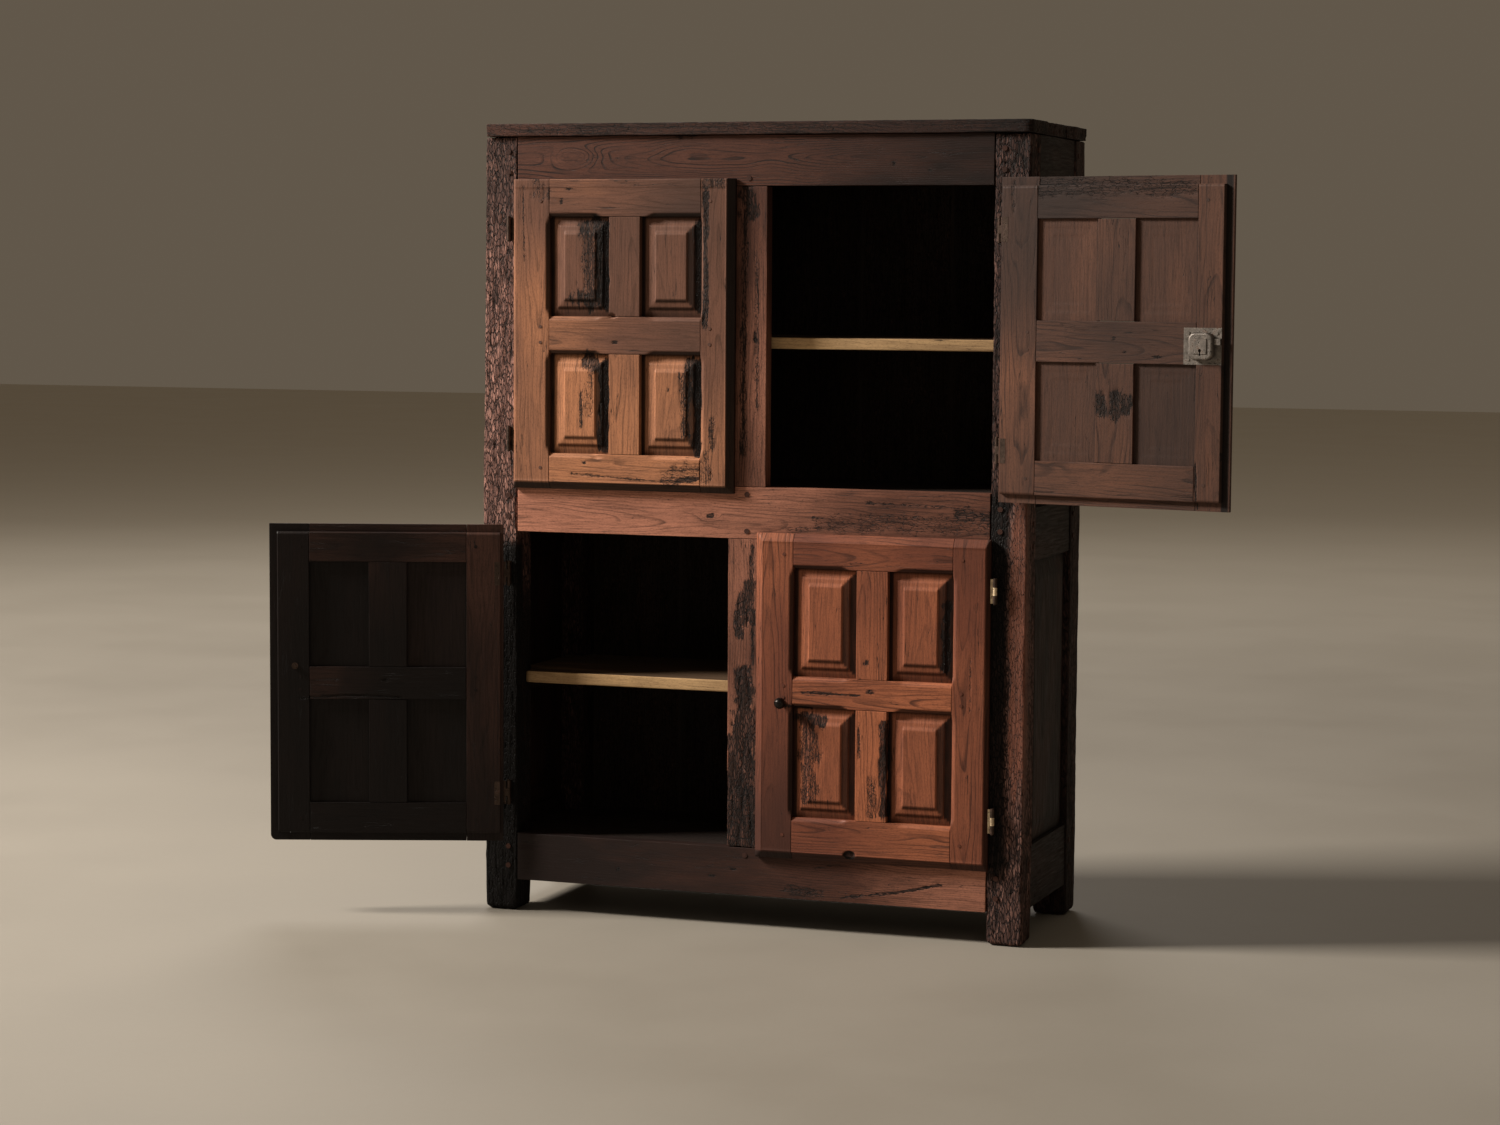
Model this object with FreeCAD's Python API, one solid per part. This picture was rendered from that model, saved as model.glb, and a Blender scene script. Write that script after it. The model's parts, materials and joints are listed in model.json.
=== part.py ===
import FreeCAD, Part
import os

# Court cupboard of pegged frame-and-panel work, with four lipped doors.
# Millimetres. X runs along the front from the left post, Y runs back from the front face, Z is up.
# The origin is the outer front corner of the left front foot, on the floor.
# The upper right and lower left doors stand open.

V = FreeCAD.Vector

# Carcass, overall
carcass_width = 1200.0
carcass_depth = 452.0
frame_height = 1660.0
foot_height = 68.0
post_width = 77.0
post_depth = 80.0
post_edge_chamfer = 3.0

# Front rails and the two upright muntins between the door openings
front_rail_thickness = 34.0
top_rail_height = 105.0
middle_rail_place_share = 0.49518
middle_rail_height = 109.0
bottom_rail_height = 102.0
front_muntin_width = 82.0
front_muntin_shift = 2.5

# Side rails and panels
side_rail_thickness = 32.0
side_rail_setback = 4.0
side_top_rail_height = 115.0
side_middle_rail_drop = 33.0
side_middle_rail_height = 111.0
side_bottom_rail_height = 132.0
side_panel_thickness = 15.0
side_tongue_thickness = 8.0
side_panel_bevel = 38.0

# Back
rear_rail_thickness = 28.0
rear_top_rail_height = 95.0
rear_middle_rail_rise = 4.0
rear_middle_rail_height = 90.0
rear_bottom_rail_height = 90.0
back_board_thickness = 14.0
back_board_count = 5
back_board_gap = 1.5
back_board_rise = 14.0

# Top boards, front to back, with their right ends left uneven
top_board_thickness = 28.0
top_board_gap = 1.2
front_board_width = 122.0
middle_board_width = 170.0
top_overhang_front = 8.0
top_overhang_left = 3.0
front_board_overhang_right = 8.0
middle_board_overhang_right = 3.0
rear_board_overhang_right = 6.0
top_corner_radius = 22.0

# Shelves, floors and the battens that carry them
shelf_thickness = 26.0
upper_shelf_place_share = 0.4647
lower_shelf_place_share = 0.4985
floor_thickness = 20.0
floor_drop = 4.0
floor_board_count = 3
floor_board_gap = 1.2
batten_width = 24.0
batten_height = 22.0
shelf_front_setback = 12.0
board_clearance = 1.0
board_side_clearance = 2.0

# Mortise and tenon joints of the carcass, with their pegs
tenon_thickness = 12.0
tenon_length = 42.0
muntin_tenon_length = 32.0
tenon_shoulder = 14.0
tenon_clearance = 0.3
peg_radius = 5.5
peg_length = 40.0
peg_proud = 0.8
peg_clearance = 0.05
peg_spread_share = 0.28

# Cut nails that hold the top and the back boards
nail_radius = 2.5
nail_length = 52.0
back_nail_length = 34.0
nail_head_radius = 4.5
nail_head_height = 2.0
nail_head_sink = 0.2
nail_line_shares = (0.33, 0.67)
post_nail_share = 0.25

# Doors: thickness, the lip that laps over the frame, and clearances
door_front_proud = 20.0
door_back_depth = 8.0
lip_gap = 0.8
lip_overlap = 15.5
lip_bevel_width = 17.0
hinge_bevel_width = 10.0
lip_bevel_depth = 11.0
hinge_side_clearance = 1.7
free_side_clearance = 2.5
plate_clearance = 2.5
cut_overrun = 5.0

# Doors: open angles at which two of them stand
upper_right_open_angle = 168.0
lower_left_open_angle = 160.0

# Doors: joints
door_tenon_thickness = 8.0
door_tenon_length = 40.0
door_tenon_outer_shoulder = 24.0
door_tenon_inner_shoulder = 10.0
door_muntin_tenon_length = 22.0
door_peg_radius = 3.5
door_peg_proud = 0.4
panel_groove_depth = 9.0
panel_groove_clearance = 0.2

# Doors: raised and fielded panels, with a small step at the foot and at the head of the upper slope
panel_tongue_depth = 8.0
panel_tongue_thickness = 6.0
panel_back_recess = 7.0
panel_edge_gap = 0.3
field_setback = 5.0
panel_lower_slope_width = 17.0
panel_lower_slope_rise = 4.5
panel_upper_slope_width = 16.0
panel_step = 1.2

# Doors: stopped chamfers round the panel openings
chamfer_face = 8.0
chamfer_depth = 6.0
chamfer_stop = 14.0
chamfer_run = 16.0
chamfer_margin_share = 0.2
chamfer_vanish_share = 0.01

# Widths of each door's members, over their bevels
door_member_widths = {
    "upper_left": {"hinge_stile": 79.0, "lock_stile": 73.0, "top_rail": 79.0, "middle_rail": 79.0,
                   "bottom_rail": 77.0, "muntin": 70.0, "middle_rise": 0.0},
    "upper_right": {"hinge_stile": 78.0, "lock_stile": 73.0, "top_rail": 84.0, "middle_rail": 83.0,
                    "bottom_rail": 88.0, "muntin": 83.0, "middle_rise": 0.0},
    "lower_left": {"hinge_stile": 72.0, "lock_stile": 86.0, "top_rail": 81.0, "middle_rail": 70.0,
                   "bottom_rail": 84.0, "muntin": 82.0, "middle_rise": 0.0},
    "lower_right": {"hinge_stile": 70.0, "lock_stile": 84.0, "top_rail": 72.0, "middle_rail": 64.0,
                    "bottom_rail": 90.0, "muntin": 68.0, "middle_rise": 12.0},
}

# Hinges: three knuckles on one pin, a leaf driven into the post and a cranked leaf let into the door
hinge_axis_out = 15.3
hinge_axis_forward = 12.0
hinge_from_end = 105.0
hinge_length = 50.0
knuckle_radius = 4.5
knuckle_gap = 0.4
pin_radius = 2.4
pin_clearance = 0.06
pin_head_height = 2.0
pin_head_radius = 3.6
leaf_thickness = 2.2
leaf_knuckle_margin = 1.0
post_leaf_depth = 26.0
door_leaf_flange = 12.0
door_leaf_setback = 3.0
leaf_clearance = 0.1

# Iron knobs of the lower doors
knob_ball_radius = 12.0
knob_reach = 15.0
knob_neck_radius = 4.8
knob_collar_radius = 7.0
knob_collar_height = 2.5
knob_shank_radius = 3.4
knob_rove_radius = 7.0
knob_rove_thickness = 1.5
knob_tail = 2.5
knob_hole_clearance = 0.1
lower_right_knob_from_edge = 62.0
lower_right_knob_rise = -23.5
lower_left_knob_from_edge = 55.0
lower_left_knob_rise = 36.5

# Lock on the inside of the upper right door
lock_rise = -5.0
lock_plate_width = 80.0
lock_plate_height = 72.0
lock_plate_thickness = 2.5
lock_plate_edge_gap = 1.0
lock_case_width = 52.0
lock_case_height = 54.0
lock_case_depth = 13.0
lock_case_from_edge = 41.0
lock_case_wall = 2.0
lock_case_corner_radius = 15.0
lock_case_face_radius = 4.5
lock_case_boss_inset = 11.0
lock_case_boss_height = 1.6
lock_tab_half_width = 19.0
lock_tab_height = 8.0
lock_tab_thickness = 3.0
lock_nail_radius = 2.0
lock_nail_head_radius = 3.2
lock_nail_head_height = 1.4
lock_nail_inset = 10.0
lock_nail_length = 14.0
bolt_length = 62.0
bolt_height = 12.0
bolt_thickness = 7.0
bolt_rise = 9.0
bolt_gap = 0.3
bolt_travel = 10.0
bolt_keep_clearance = 1.5
keyhole_radius = 3.2
keyhole_slot_width = 3.0
keyhole_slot_length = 10.0
keyhole_drop = 8.0

# How closely an edge has to lie in a plane to be taken as lying in it
edge_match = 0.01

# Places worked out from the sizes above
middle_rail_bottom = frame_height * middle_rail_place_share
middle_rail_top = middle_rail_bottom + middle_rail_height
top_rail_bottom = frame_height - top_rail_height
bottom_rail_top = foot_height + bottom_rail_height
muntin_left = (carcass_width - front_muntin_width) / 2 - front_muntin_shift
muntin_right = muntin_left + front_muntin_width
rear_rail_back = carcass_depth - back_board_thickness
rear_rail_front = rear_rail_back - rear_rail_thickness
side_rail_inner = side_rail_setback + side_rail_thickness
cupboard_height = frame_height + top_board_thickness
bottom_floor_top = bottom_rail_top - floor_drop
middle_floor_top = middle_rail_top - floor_drop
lower_shelf_bottom = bottom_floor_top + (middle_rail_bottom - bottom_rail_top) * lower_shelf_place_share
upper_shelf_bottom = middle_floor_top + (top_rail_bottom - middle_rail_top) * upper_shelf_place_share

# The four door openings: left, right, bottom and top edge
door_openings = {
    "upper_left": (post_width, muntin_left, middle_rail_top, top_rail_bottom),
    "upper_right": (muntin_right, carcass_width - post_width, middle_rail_top, top_rail_bottom),
    "lower_left": (post_width, muntin_left, bottom_rail_top, middle_rail_bottom),
    "lower_right": (muntin_right, carcass_width - post_width, bottom_rail_top, middle_rail_bottom),
}
door_hinge_side = {"upper_left": "left", "upper_right": "right",
                   "lower_left": "left", "lower_right": "right"}
door_open_angle = {"upper_left": 0.0, "upper_right": upper_right_open_angle,
                   "lower_left": lower_left_open_angle, "lower_right": 0.0}


def solid_of(b):
    """A box from its limits (x0, x1, y0, y1, z0, z1)."""
    x0, x1, y0, y1, z0, z1 = b
    return Part.makeBox(x1 - x0, y1 - y0, z1 - z0, V(x0, y0, z0))


def grown(b, by):
    """The same limits, moved out by one clearance all round."""
    x0, x1, y0, y1, z0, z1 = b
    return (x0 - by, x1 + by, y0 - by, y1 + by, z0 - by, z1 + by)


def upright_rect(x0, x1, z0, z1, y):
    """A rectangle that faces the front, as a wire."""
    return Part.makePolygon([V(x0, y, z0), V(x1, y, z0), V(x1, y, z1), V(x0, y, z1), V(x0, y, z0)])


def slope(rect_a, y_a, rect_b, y_b):
    """A solid between two upright rectangles at two depths."""
    return Part.makeLoft([upright_rect(*rect_a, y_a), upright_rect(*rect_b, y_b)], True, True)


def inset(rect, by):
    x0, x1, z0, z1 = rect
    return (x0 + by, x1 - by, z0 + by, z1 - by)


def rod(radius, start, end):
    """A round bar between two points."""
    along = end - start
    return Part.makeCylinder(radius, along.Length, start, along)


def chamfered_post(b):
    """A post with its four long edges taken off."""
    post = solid_of(b)
    long_edges = [e for e in post.Edges if abs(e.tangentAt(e.FirstParameter).z) > 1 - edge_match]
    return post.makeChamfer(post_edge_chamfer, long_edges)


class Frame:
    """Members of the carcass by name, joined with mortises, tenons and pegs."""

    def __init__(self):
        self.members = {}
        self.pegs = []
        self.nails = []

    def add(self, name, shape):
        self.members[name] = shape

    def cut(self, name, tool):
        self.members[name] = self.members[name].cut(tool)

    def join(self, rail, post, tenon, peg_starts, peg_direction, proud):
        """Gives the rail a tenon, the post its mortise, and drills both for the pegs."""
        self.members[rail] = self.members[rail].fuse(solid_of(tenon))
        self.cut(post, solid_of(grown(tenon, tenon_clearance)))
        for start in peg_starts:
            end = start + peg_direction * peg_length
            outside = start - peg_direction * proud
            hole = rod(peg_radius + peg_clearance, outside - peg_direction * cut_overrun, end)
            self.cut(rail, hole)
            self.cut(post, hole)
            self.pegs.append(rod(peg_radius, outside, end))

    def nail(self, names, start, direction, length, sink):
        """Drives a cut nail, with its head just under the surface, through the named members."""
        top = start + direction * sink
        below = top + direction * nail_head_height
        shape = rod(nail_head_radius, top, below).fuse(rod(nail_radius, below, start + direction * length))
        for name in names:
            self.cut(name, rod(nail_head_radius + peg_clearance, start - direction * cut_overrun, below))
            self.cut(name, rod(nail_radius + peg_clearance, start, start + direction * length))
        self.nails.append(shape)


def make_posts(frame):
    right = carcass_width - post_width
    rear = carcass_depth - post_depth
    for name, x, y in (("front_left_post", 0, 0), ("front_right_post", right, 0),
                       ("rear_left_post", 0, rear), ("rear_right_post", right, rear)):
        frame.add(name, chamfered_post((x, x + post_width, y, y + post_depth, 0, frame_height)))


def spread(low, high):
    """Two heights, spread evenly about the middle of a tenon."""
    middle, reach = (low + high) / 2, (high - low) * peg_spread_share
    return (middle - reach, middle + reach)


def cross_rail(frame, name, posts, y0, y1, z0, z1, peg_face_y, peg_direction, proud):
    """A rail along X between two posts, with a pegged tenon at each end."""
    x0, x1 = post_width, carcass_width - post_width
    frame.add(name, solid_of((x0, x1, y0, y1, z0, z1)))
    t0 = (y0 + y1 - tenon_thickness) / 2
    low, high = z0 + tenon_shoulder, z1 - tenon_shoulder
    for post, a, b in ((posts[0], x0 - tenon_length, x0), (posts[1], x1, x1 + tenon_length)):
        starts = [V((a + b) / 2, peg_face_y, z) for z in spread(low, high)]
        frame.join(name, post, (a, b, t0, t0 + tenon_thickness, low, high), starts, peg_direction, proud)


def make_front(frame):
    posts = ("front_left_post", "front_right_post")
    for name, z0, z1 in (("front_top_rail", top_rail_bottom, frame_height),
                         ("front_middle_rail", middle_rail_bottom, middle_rail_top),
                         ("front_bottom_rail", foot_height, bottom_rail_top)):
        cross_rail(frame, name, posts, 0, front_rail_thickness, z0, z1, 0, V(0, 1, 0), peg_proud)
    t0 = (front_rail_thickness - tenon_thickness) / 2
    a, b = muntin_left + tenon_shoulder, muntin_right - tenon_shoulder
    centre = (a + b) / 2
    for name, z0, z1, low_rail, high_rail in (
            ("upper_muntin", middle_rail_top, top_rail_bottom, "front_middle_rail", "front_top_rail"),
            ("lower_muntin", bottom_rail_top, middle_rail_bottom, "front_bottom_rail", "front_middle_rail")):
        frame.add(name, solid_of((muntin_left, muntin_right, 0, front_rail_thickness, z0, z1)))
        for rail, c, d in ((low_rail, z0 - muntin_tenon_length, z0),
                           (high_rail, z1, z1 + muntin_tenon_length)):
            tenon = (a, b, t0, t0 + tenon_thickness, c, d)
            start = V(centre, 0, (c + d) / 2)
            back = start + V(0, front_rail_thickness, 0)
            hole = rod(peg_radius + peg_clearance, start - V(0, peg_length, 0), start + V(0, peg_length, 0))
            frame.members[name] = frame.members[name].fuse(solid_of(tenon)).cut(hole)
            frame.cut(rail, solid_of(grown(tenon, tenon_clearance)))
            frame.cut(rail, hole)
            frame.pegs.append(rod(peg_radius, start - V(0, peg_proud, 0), back))


def side_rail_heights():
    middle = middle_rail_bottom - side_middle_rail_drop
    return {"top": (frame_height - side_top_rail_height, frame_height),
            "middle": (middle, middle + side_middle_rail_height),
            "bottom": (foot_height, foot_height + side_bottom_rail_height)}


def make_side(frame, side):
    """Three rails between the posts of one side, grooved for two panels."""
    if side == "left":
        x0, x1, outer, inward = side_rail_setback, side_rail_inner, 0, V(1, 0, 0)
    else:
        x0, x1 = carcass_width - side_rail_inner, carcass_width - side_rail_setback
        outer, inward = carcass_width, V(-1, 0, 0)
    y0, y1 = post_depth, carcass_depth - post_depth
    t0 = (x0 + x1 - tenon_thickness) / 2
    heights = side_rail_heights()
    for level, (z0, z1) in heights.items():
        name = f"{side}_{level}_side_rail"
        frame.add(name, solid_of((x0, x1, y0, y1, z0, z1)))
        low, high = z0 + tenon_shoulder, z1 - tenon_shoulder
        for post, a, b in ((f"front_{side}_post", y0 - tenon_length, y0),
                           (f"rear_{side}_post", y1, y1 + tenon_length)):
            starts = [V(outer, (a + b) / 2, z) for z in spread(low, high)]
            frame.join(name, post, (t0, t0 + tenon_thickness, a, b, low, high), starts, inward, peg_proud)
    panels = []
    for low_rail, high_rail in (("bottom", "middle"), ("middle", "top")):
        z0, z1 = heights[low_rail][1], heights[high_rail][0]
        panels.append(side_panel(side, x0, x1, y0, y1, z0, z1))
        g0 = (x0 + x1 - side_tongue_thickness) / 2
        groove = grown((g0, g0 + side_tongue_thickness, y0, y1, z0, z1), panel_groove_clearance)
        deep = (groove[0], groove[1], y0 - panel_groove_depth, y1 + panel_groove_depth,
                z0 - panel_groove_depth, z1 + panel_groove_depth)
        for name in (f"{side}_{low_rail}_side_rail", f"{side}_{high_rail}_side_rail",
                     f"front_{side}_post", f"rear_{side}_post"):
            frame.cut(name, solid_of(deep))
    return panels


def side_panel(side, x0, x1, y0, y1, z0, z1):
    """A panel with its bevelled margin towards the outside, held by a tongue all round."""
    middle = (x0 + x1) / 2
    opening = (y0, y1, z0, z1)
    tongue_rect = inset(opening, -panel_tongue_depth)
    half = side_tongue_thickness / 2
    field = half - side_panel_thickness
    body = slope(tongue_rect, half, tongue_rect, -half)
    body = body.fuse(slope(inset(opening, panel_edge_gap), -half, inset(opening, side_panel_bevel), field))
    body.rotate(V(0, 0, 0), V(0, 0, 1), -90 if side == "left" else 90)
    if side == "left":
        body.translate(V(middle, y0 + y1, 0))
    else:
        body.translate(V(middle, 0, 0))
    return body


def make_rear(frame):
    posts = ("rear_left_post", "rear_right_post")
    middle = middle_rail_bottom + rear_middle_rail_rise
    levels = {"rear_top_rail": (frame_height - rear_top_rail_height, frame_height),
              "rear_middle_rail": (middle, middle + rear_middle_rail_height),
              "rear_bottom_rail": (foot_height, foot_height + rear_bottom_rail_height)}
    for name, (z0, z1) in levels.items():
        cross_rail(frame, name, posts, rear_rail_front, rear_rail_back, z0, z1, carcass_depth, V(0, -1, 0), 0)
    span = carcass_width - 2 * post_width - back_board_gap
    pitch = span / back_board_count
    for i in range(back_board_count):
        x0 = post_width + back_board_gap + i * pitch
        name = f"back_board_{i}"
        x1 = x0 + pitch - back_board_gap
        bottom = foot_height + back_board_rise
        frame.add(name, solid_of((x0, x1, rear_rail_back, carcass_depth, bottom, frame_height)))
        for rail, (z0, z1) in levels.items():
            start = V((x0 + x1) / 2, carcass_depth, (z0 + z1) / 2)
            frame.nail((name, rail), start, V(0, -1, 0), back_nail_length, 0)


def make_top(frame):
    """Three boards side by side, the front one with a rounded right corner."""
    y = -top_overhang_front
    rear_board_width = carcass_depth - y - front_board_width - middle_board_width - 2 * top_board_gap
    rows = (("front", front_board_width, front_board_overhang_right),
            ("middle", middle_board_width, middle_board_overhang_right),
            ("rear", rear_board_width, rear_board_overhang_right))
    rail_middle = side_rail_setback + side_rail_thickness / 2
    for name, width, overhang in rows:
        x0, x1 = -top_overhang_left, carcass_width + overhang
        board = solid_of((x0, x1, y, y + width, frame_height, cupboard_height))
        if name == "front":
            corner = V(x1, y, frame_height)
            near = min(board.Edges, key=lambda e: (e.CenterOfMass - corner).Length
                       + (e.CenterOfMass - corner - V(0, 0, top_board_thickness)).Length)
            board = board.makeFillet(top_corner_radius, [near])
        frame.add(f"top_board_{name}", board)
        y += width + top_board_gap
    down = V(0, 0, -1)
    from_face = post_depth * post_nail_share
    middle_line = -top_overhang_front + front_board_width + top_board_gap + middle_board_width / 2
    for side, x in (("left", rail_middle), ("right", carcass_width - rail_middle)):
        for board, y, under in (("front", from_face, f"front_{side}_post"),
                                ("middle", middle_line, f"{side}_top_side_rail"),
                                ("rear", carcass_depth - from_face, f"rear_{side}_post")):
            start = V(x, y, cupboard_height)
            frame.nail((f"top_board_{board}", under), start, down, nail_length, nail_head_sink)
    for share in nail_line_shares:
        x = carcass_width * share
        for board, y, under in (("front", front_rail_thickness / 2, "front_top_rail"),
                                ("rear", (rear_rail_front + rear_rail_back) / 2, "rear_top_rail")):
            start = V(x, y, cupboard_height)
            frame.nail((f"top_board_{board}", under), start, down, nail_length, nail_head_sink)


def around_posts(shape):
    """Notches a shelf or floor board round the four posts."""
    for x in (0, carcass_width - post_width):
        for y in (0, carcass_depth - post_depth):
            post = (x, x + post_width, y, y + post_depth, 0, frame_height)
            shape = shape.cut(solid_of(grown(post, board_clearance)))
    return shape


def make_shelf(bottom):
    y0 = front_rail_thickness + shelf_front_setback
    y1 = rear_rail_front - board_clearance
    x0 = side_rail_inner + board_side_clearance
    return around_posts(solid_of((x0, carcass_width - x0, y0, y1, bottom, bottom + shelf_thickness)))


def make_floor(top):
    """Loose boards laid along X behind the front rail."""
    y0 = front_rail_thickness + board_clearance
    y1 = rear_rail_front - board_clearance
    x0 = side_rail_inner + board_side_clearance
    pitch = (y1 - y0 + floor_board_gap) / floor_board_count
    boards = []
    for i in range(floor_board_count):
        a = y0 + i * pitch
        board = solid_of((x0, carcass_width - x0, a, a + pitch - floor_board_gap, top - floor_thickness, top))
        boards.append(around_posts(board))
    return boards


def make_battens():
    """A batten along each side under every shelf and floor, between the posts."""
    battens = []
    for top in (lower_shelf_bottom, upper_shelf_bottom, bottom_floor_top - floor_thickness,
                middle_floor_top - floor_thickness):
        for x in (side_rail_inner, carcass_width - side_rail_inner - batten_width):
            b = (x, x + batten_width, post_depth, carcass_depth - post_depth, top - batten_height, top)
            battens.append(solid_of(b))
    return battens


def door_sizes(name):
    """Limits of one closed door, with x from its hinge edge towards its free edge."""
    x0, x1, z0, z1 = door_openings[name]
    w = door_member_widths[name]
    opening = x1 - x0
    d = {"plate_x": opening - hinge_side_clearance - free_side_clearance,
         "lip_x": opening - hinge_side_clearance + lip_overlap,
         "plate_z0": z0 + plate_clearance, "plate_z1": z1 - plate_clearance,
         "lip_z0": z0 - lip_overlap, "lip_z1": z1 + lip_overlap}
    d["stile_a"] = w["hinge_stile"]
    d["stile_b"] = d["lip_x"] - w["lock_stile"]
    middle = (d["lip_z0"] + d["lip_z1"]) / 2 + w["middle_rise"]
    d["top_z"] = d["lip_z1"] - w["top_rail"]
    d["bottom_z"] = d["lip_z0"] + w["bottom_rail"]
    d["middle"] = middle
    d["middle_z0"], d["middle_z1"] = middle - w["middle_rail"] / 2, middle + w["middle_rail"] / 2
    centre = (d["stile_a"] + d["stile_b"]) / 2
    d["muntin_a"], d["muntin_b"] = centre - w["muntin"] / 2, centre + w["muntin"] / 2
    return d


def door_envelope(d):
    """The door's outer form: a plate that enters the opening, a lip over the frame and a bevelled front."""
    lip_back, lip_front = -lip_gap, -door_front_proud + lip_bevel_depth
    lip = (0, d["lip_x"], d["lip_z0"], d["lip_z1"])
    face = (hinge_bevel_width, d["lip_x"] - lip_bevel_width,
            d["lip_z0"] + lip_bevel_width, d["lip_z1"] - lip_bevel_width)
    plate = solid_of((0, d["plate_x"], lip_back, door_back_depth, d["plate_z0"], d["plate_z1"]))
    slab = slope(lip, lip_back, lip, lip_front)
    return plate.fuse(slab).fuse(slope(lip, lip_front, face, -door_front_proud))


def panel_openings(d):
    columns = ((d["stile_a"], d["muntin_a"]), (d["muntin_b"], d["stile_b"]))
    rows = ((d["bottom_z"], d["middle_z0"]), (d["middle_z1"], d["top_z"]))
    return [(a, b, low, high) for low, high in rows for a, b in columns]


def raised_panel(opening):
    """A panel with a tongue all round, two slopes and a raised field."""
    back = door_back_depth - panel_back_recess
    front_of_tongue = back - panel_tongue_thickness
    field = -door_front_proud + field_setback
    foot = front_of_tongue - panel_lower_slope_rise
    lower = inset(opening, panel_lower_slope_width)
    upper = inset(opening, panel_lower_slope_width + panel_upper_slope_width)
    tongue = inset(opening, -panel_tongue_depth)
    panel = slope(tongue, back, tongue, front_of_tongue)
    panel = panel.fuse(slope(inset(opening, panel_edge_gap), front_of_tongue, lower, foot))
    panel = panel.fuse(slope(lower, foot, lower, foot - panel_step))
    panel = panel.fuse(slope(lower, foot - panel_step, upper, field + panel_step))
    panel = panel.fuse(slope(upper, field + panel_step, upper, field))
    return panel.removeSplitter()


def chamfer_section(at, edge, outward, size_share, upright):
    """A right triangle over a front edge, at one place along it."""
    f, dp = chamfer_face * size_share, chamfer_depth * size_share
    m = chamfer_margin_share
    y_front, y_deep = -door_front_proud - m * dp, -door_front_proud + dp * (1 + m)
    e_out, e_in = edge + outward * m * f, edge - outward * f * (1 + m)
    pairs = ((y_front, e_out), (y_front, e_in), (y_deep, e_out), (y_front, e_out))
    if upright:
        return Part.makePolygon([V(e, y, at) for y, e in pairs])
    return Part.makePolygon([V(at, y, e) for y, e in pairs])


def chamfer_cutter(stations, edge, outward, upright):
    """A chamfer along a member's front edge, through (place, size share) stations."""
    wires = [chamfer_section(at, edge, outward, share, upright) for at, share in stations]
    return Part.makeLoft(wires, True, True)


def rail_chamfers(d, edge, outward):
    """Two chamfers on one rail edge, full at the stiles and stopped before the muntin."""
    cutters = []
    for near, far in ((d["stile_a"], d["muntin_a"]), (d["stile_b"], d["muntin_b"])):
        way = 1 if far > near else -1
        full, stop = far - way * (chamfer_stop + chamfer_run), far - way * chamfer_stop
        stations = [(near, 1), (full, 1), (stop, chamfer_vanish_share)]
        cutters.append(chamfer_cutter(stations, edge, outward, False))
    return cutters


def stile_chamfers(d, edge, outward):
    """Two chamfers on a stile edge, each dying out at both ends."""
    cutters = []
    for low, high in ((d["bottom_z"], d["middle_z0"]), (d["middle_z1"], d["top_z"])):
        stations = [(low, chamfer_vanish_share), (low + chamfer_run, 1), (high - chamfer_run, 1),
                    (high, chamfer_vanish_share)]
        cutters.append(chamfer_cutter(stations, edge, outward, True))
    return cutters


def cut_all(shape, tools):
    for tool in tools:
        shape = shape.cut(tool)
    return shape


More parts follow.
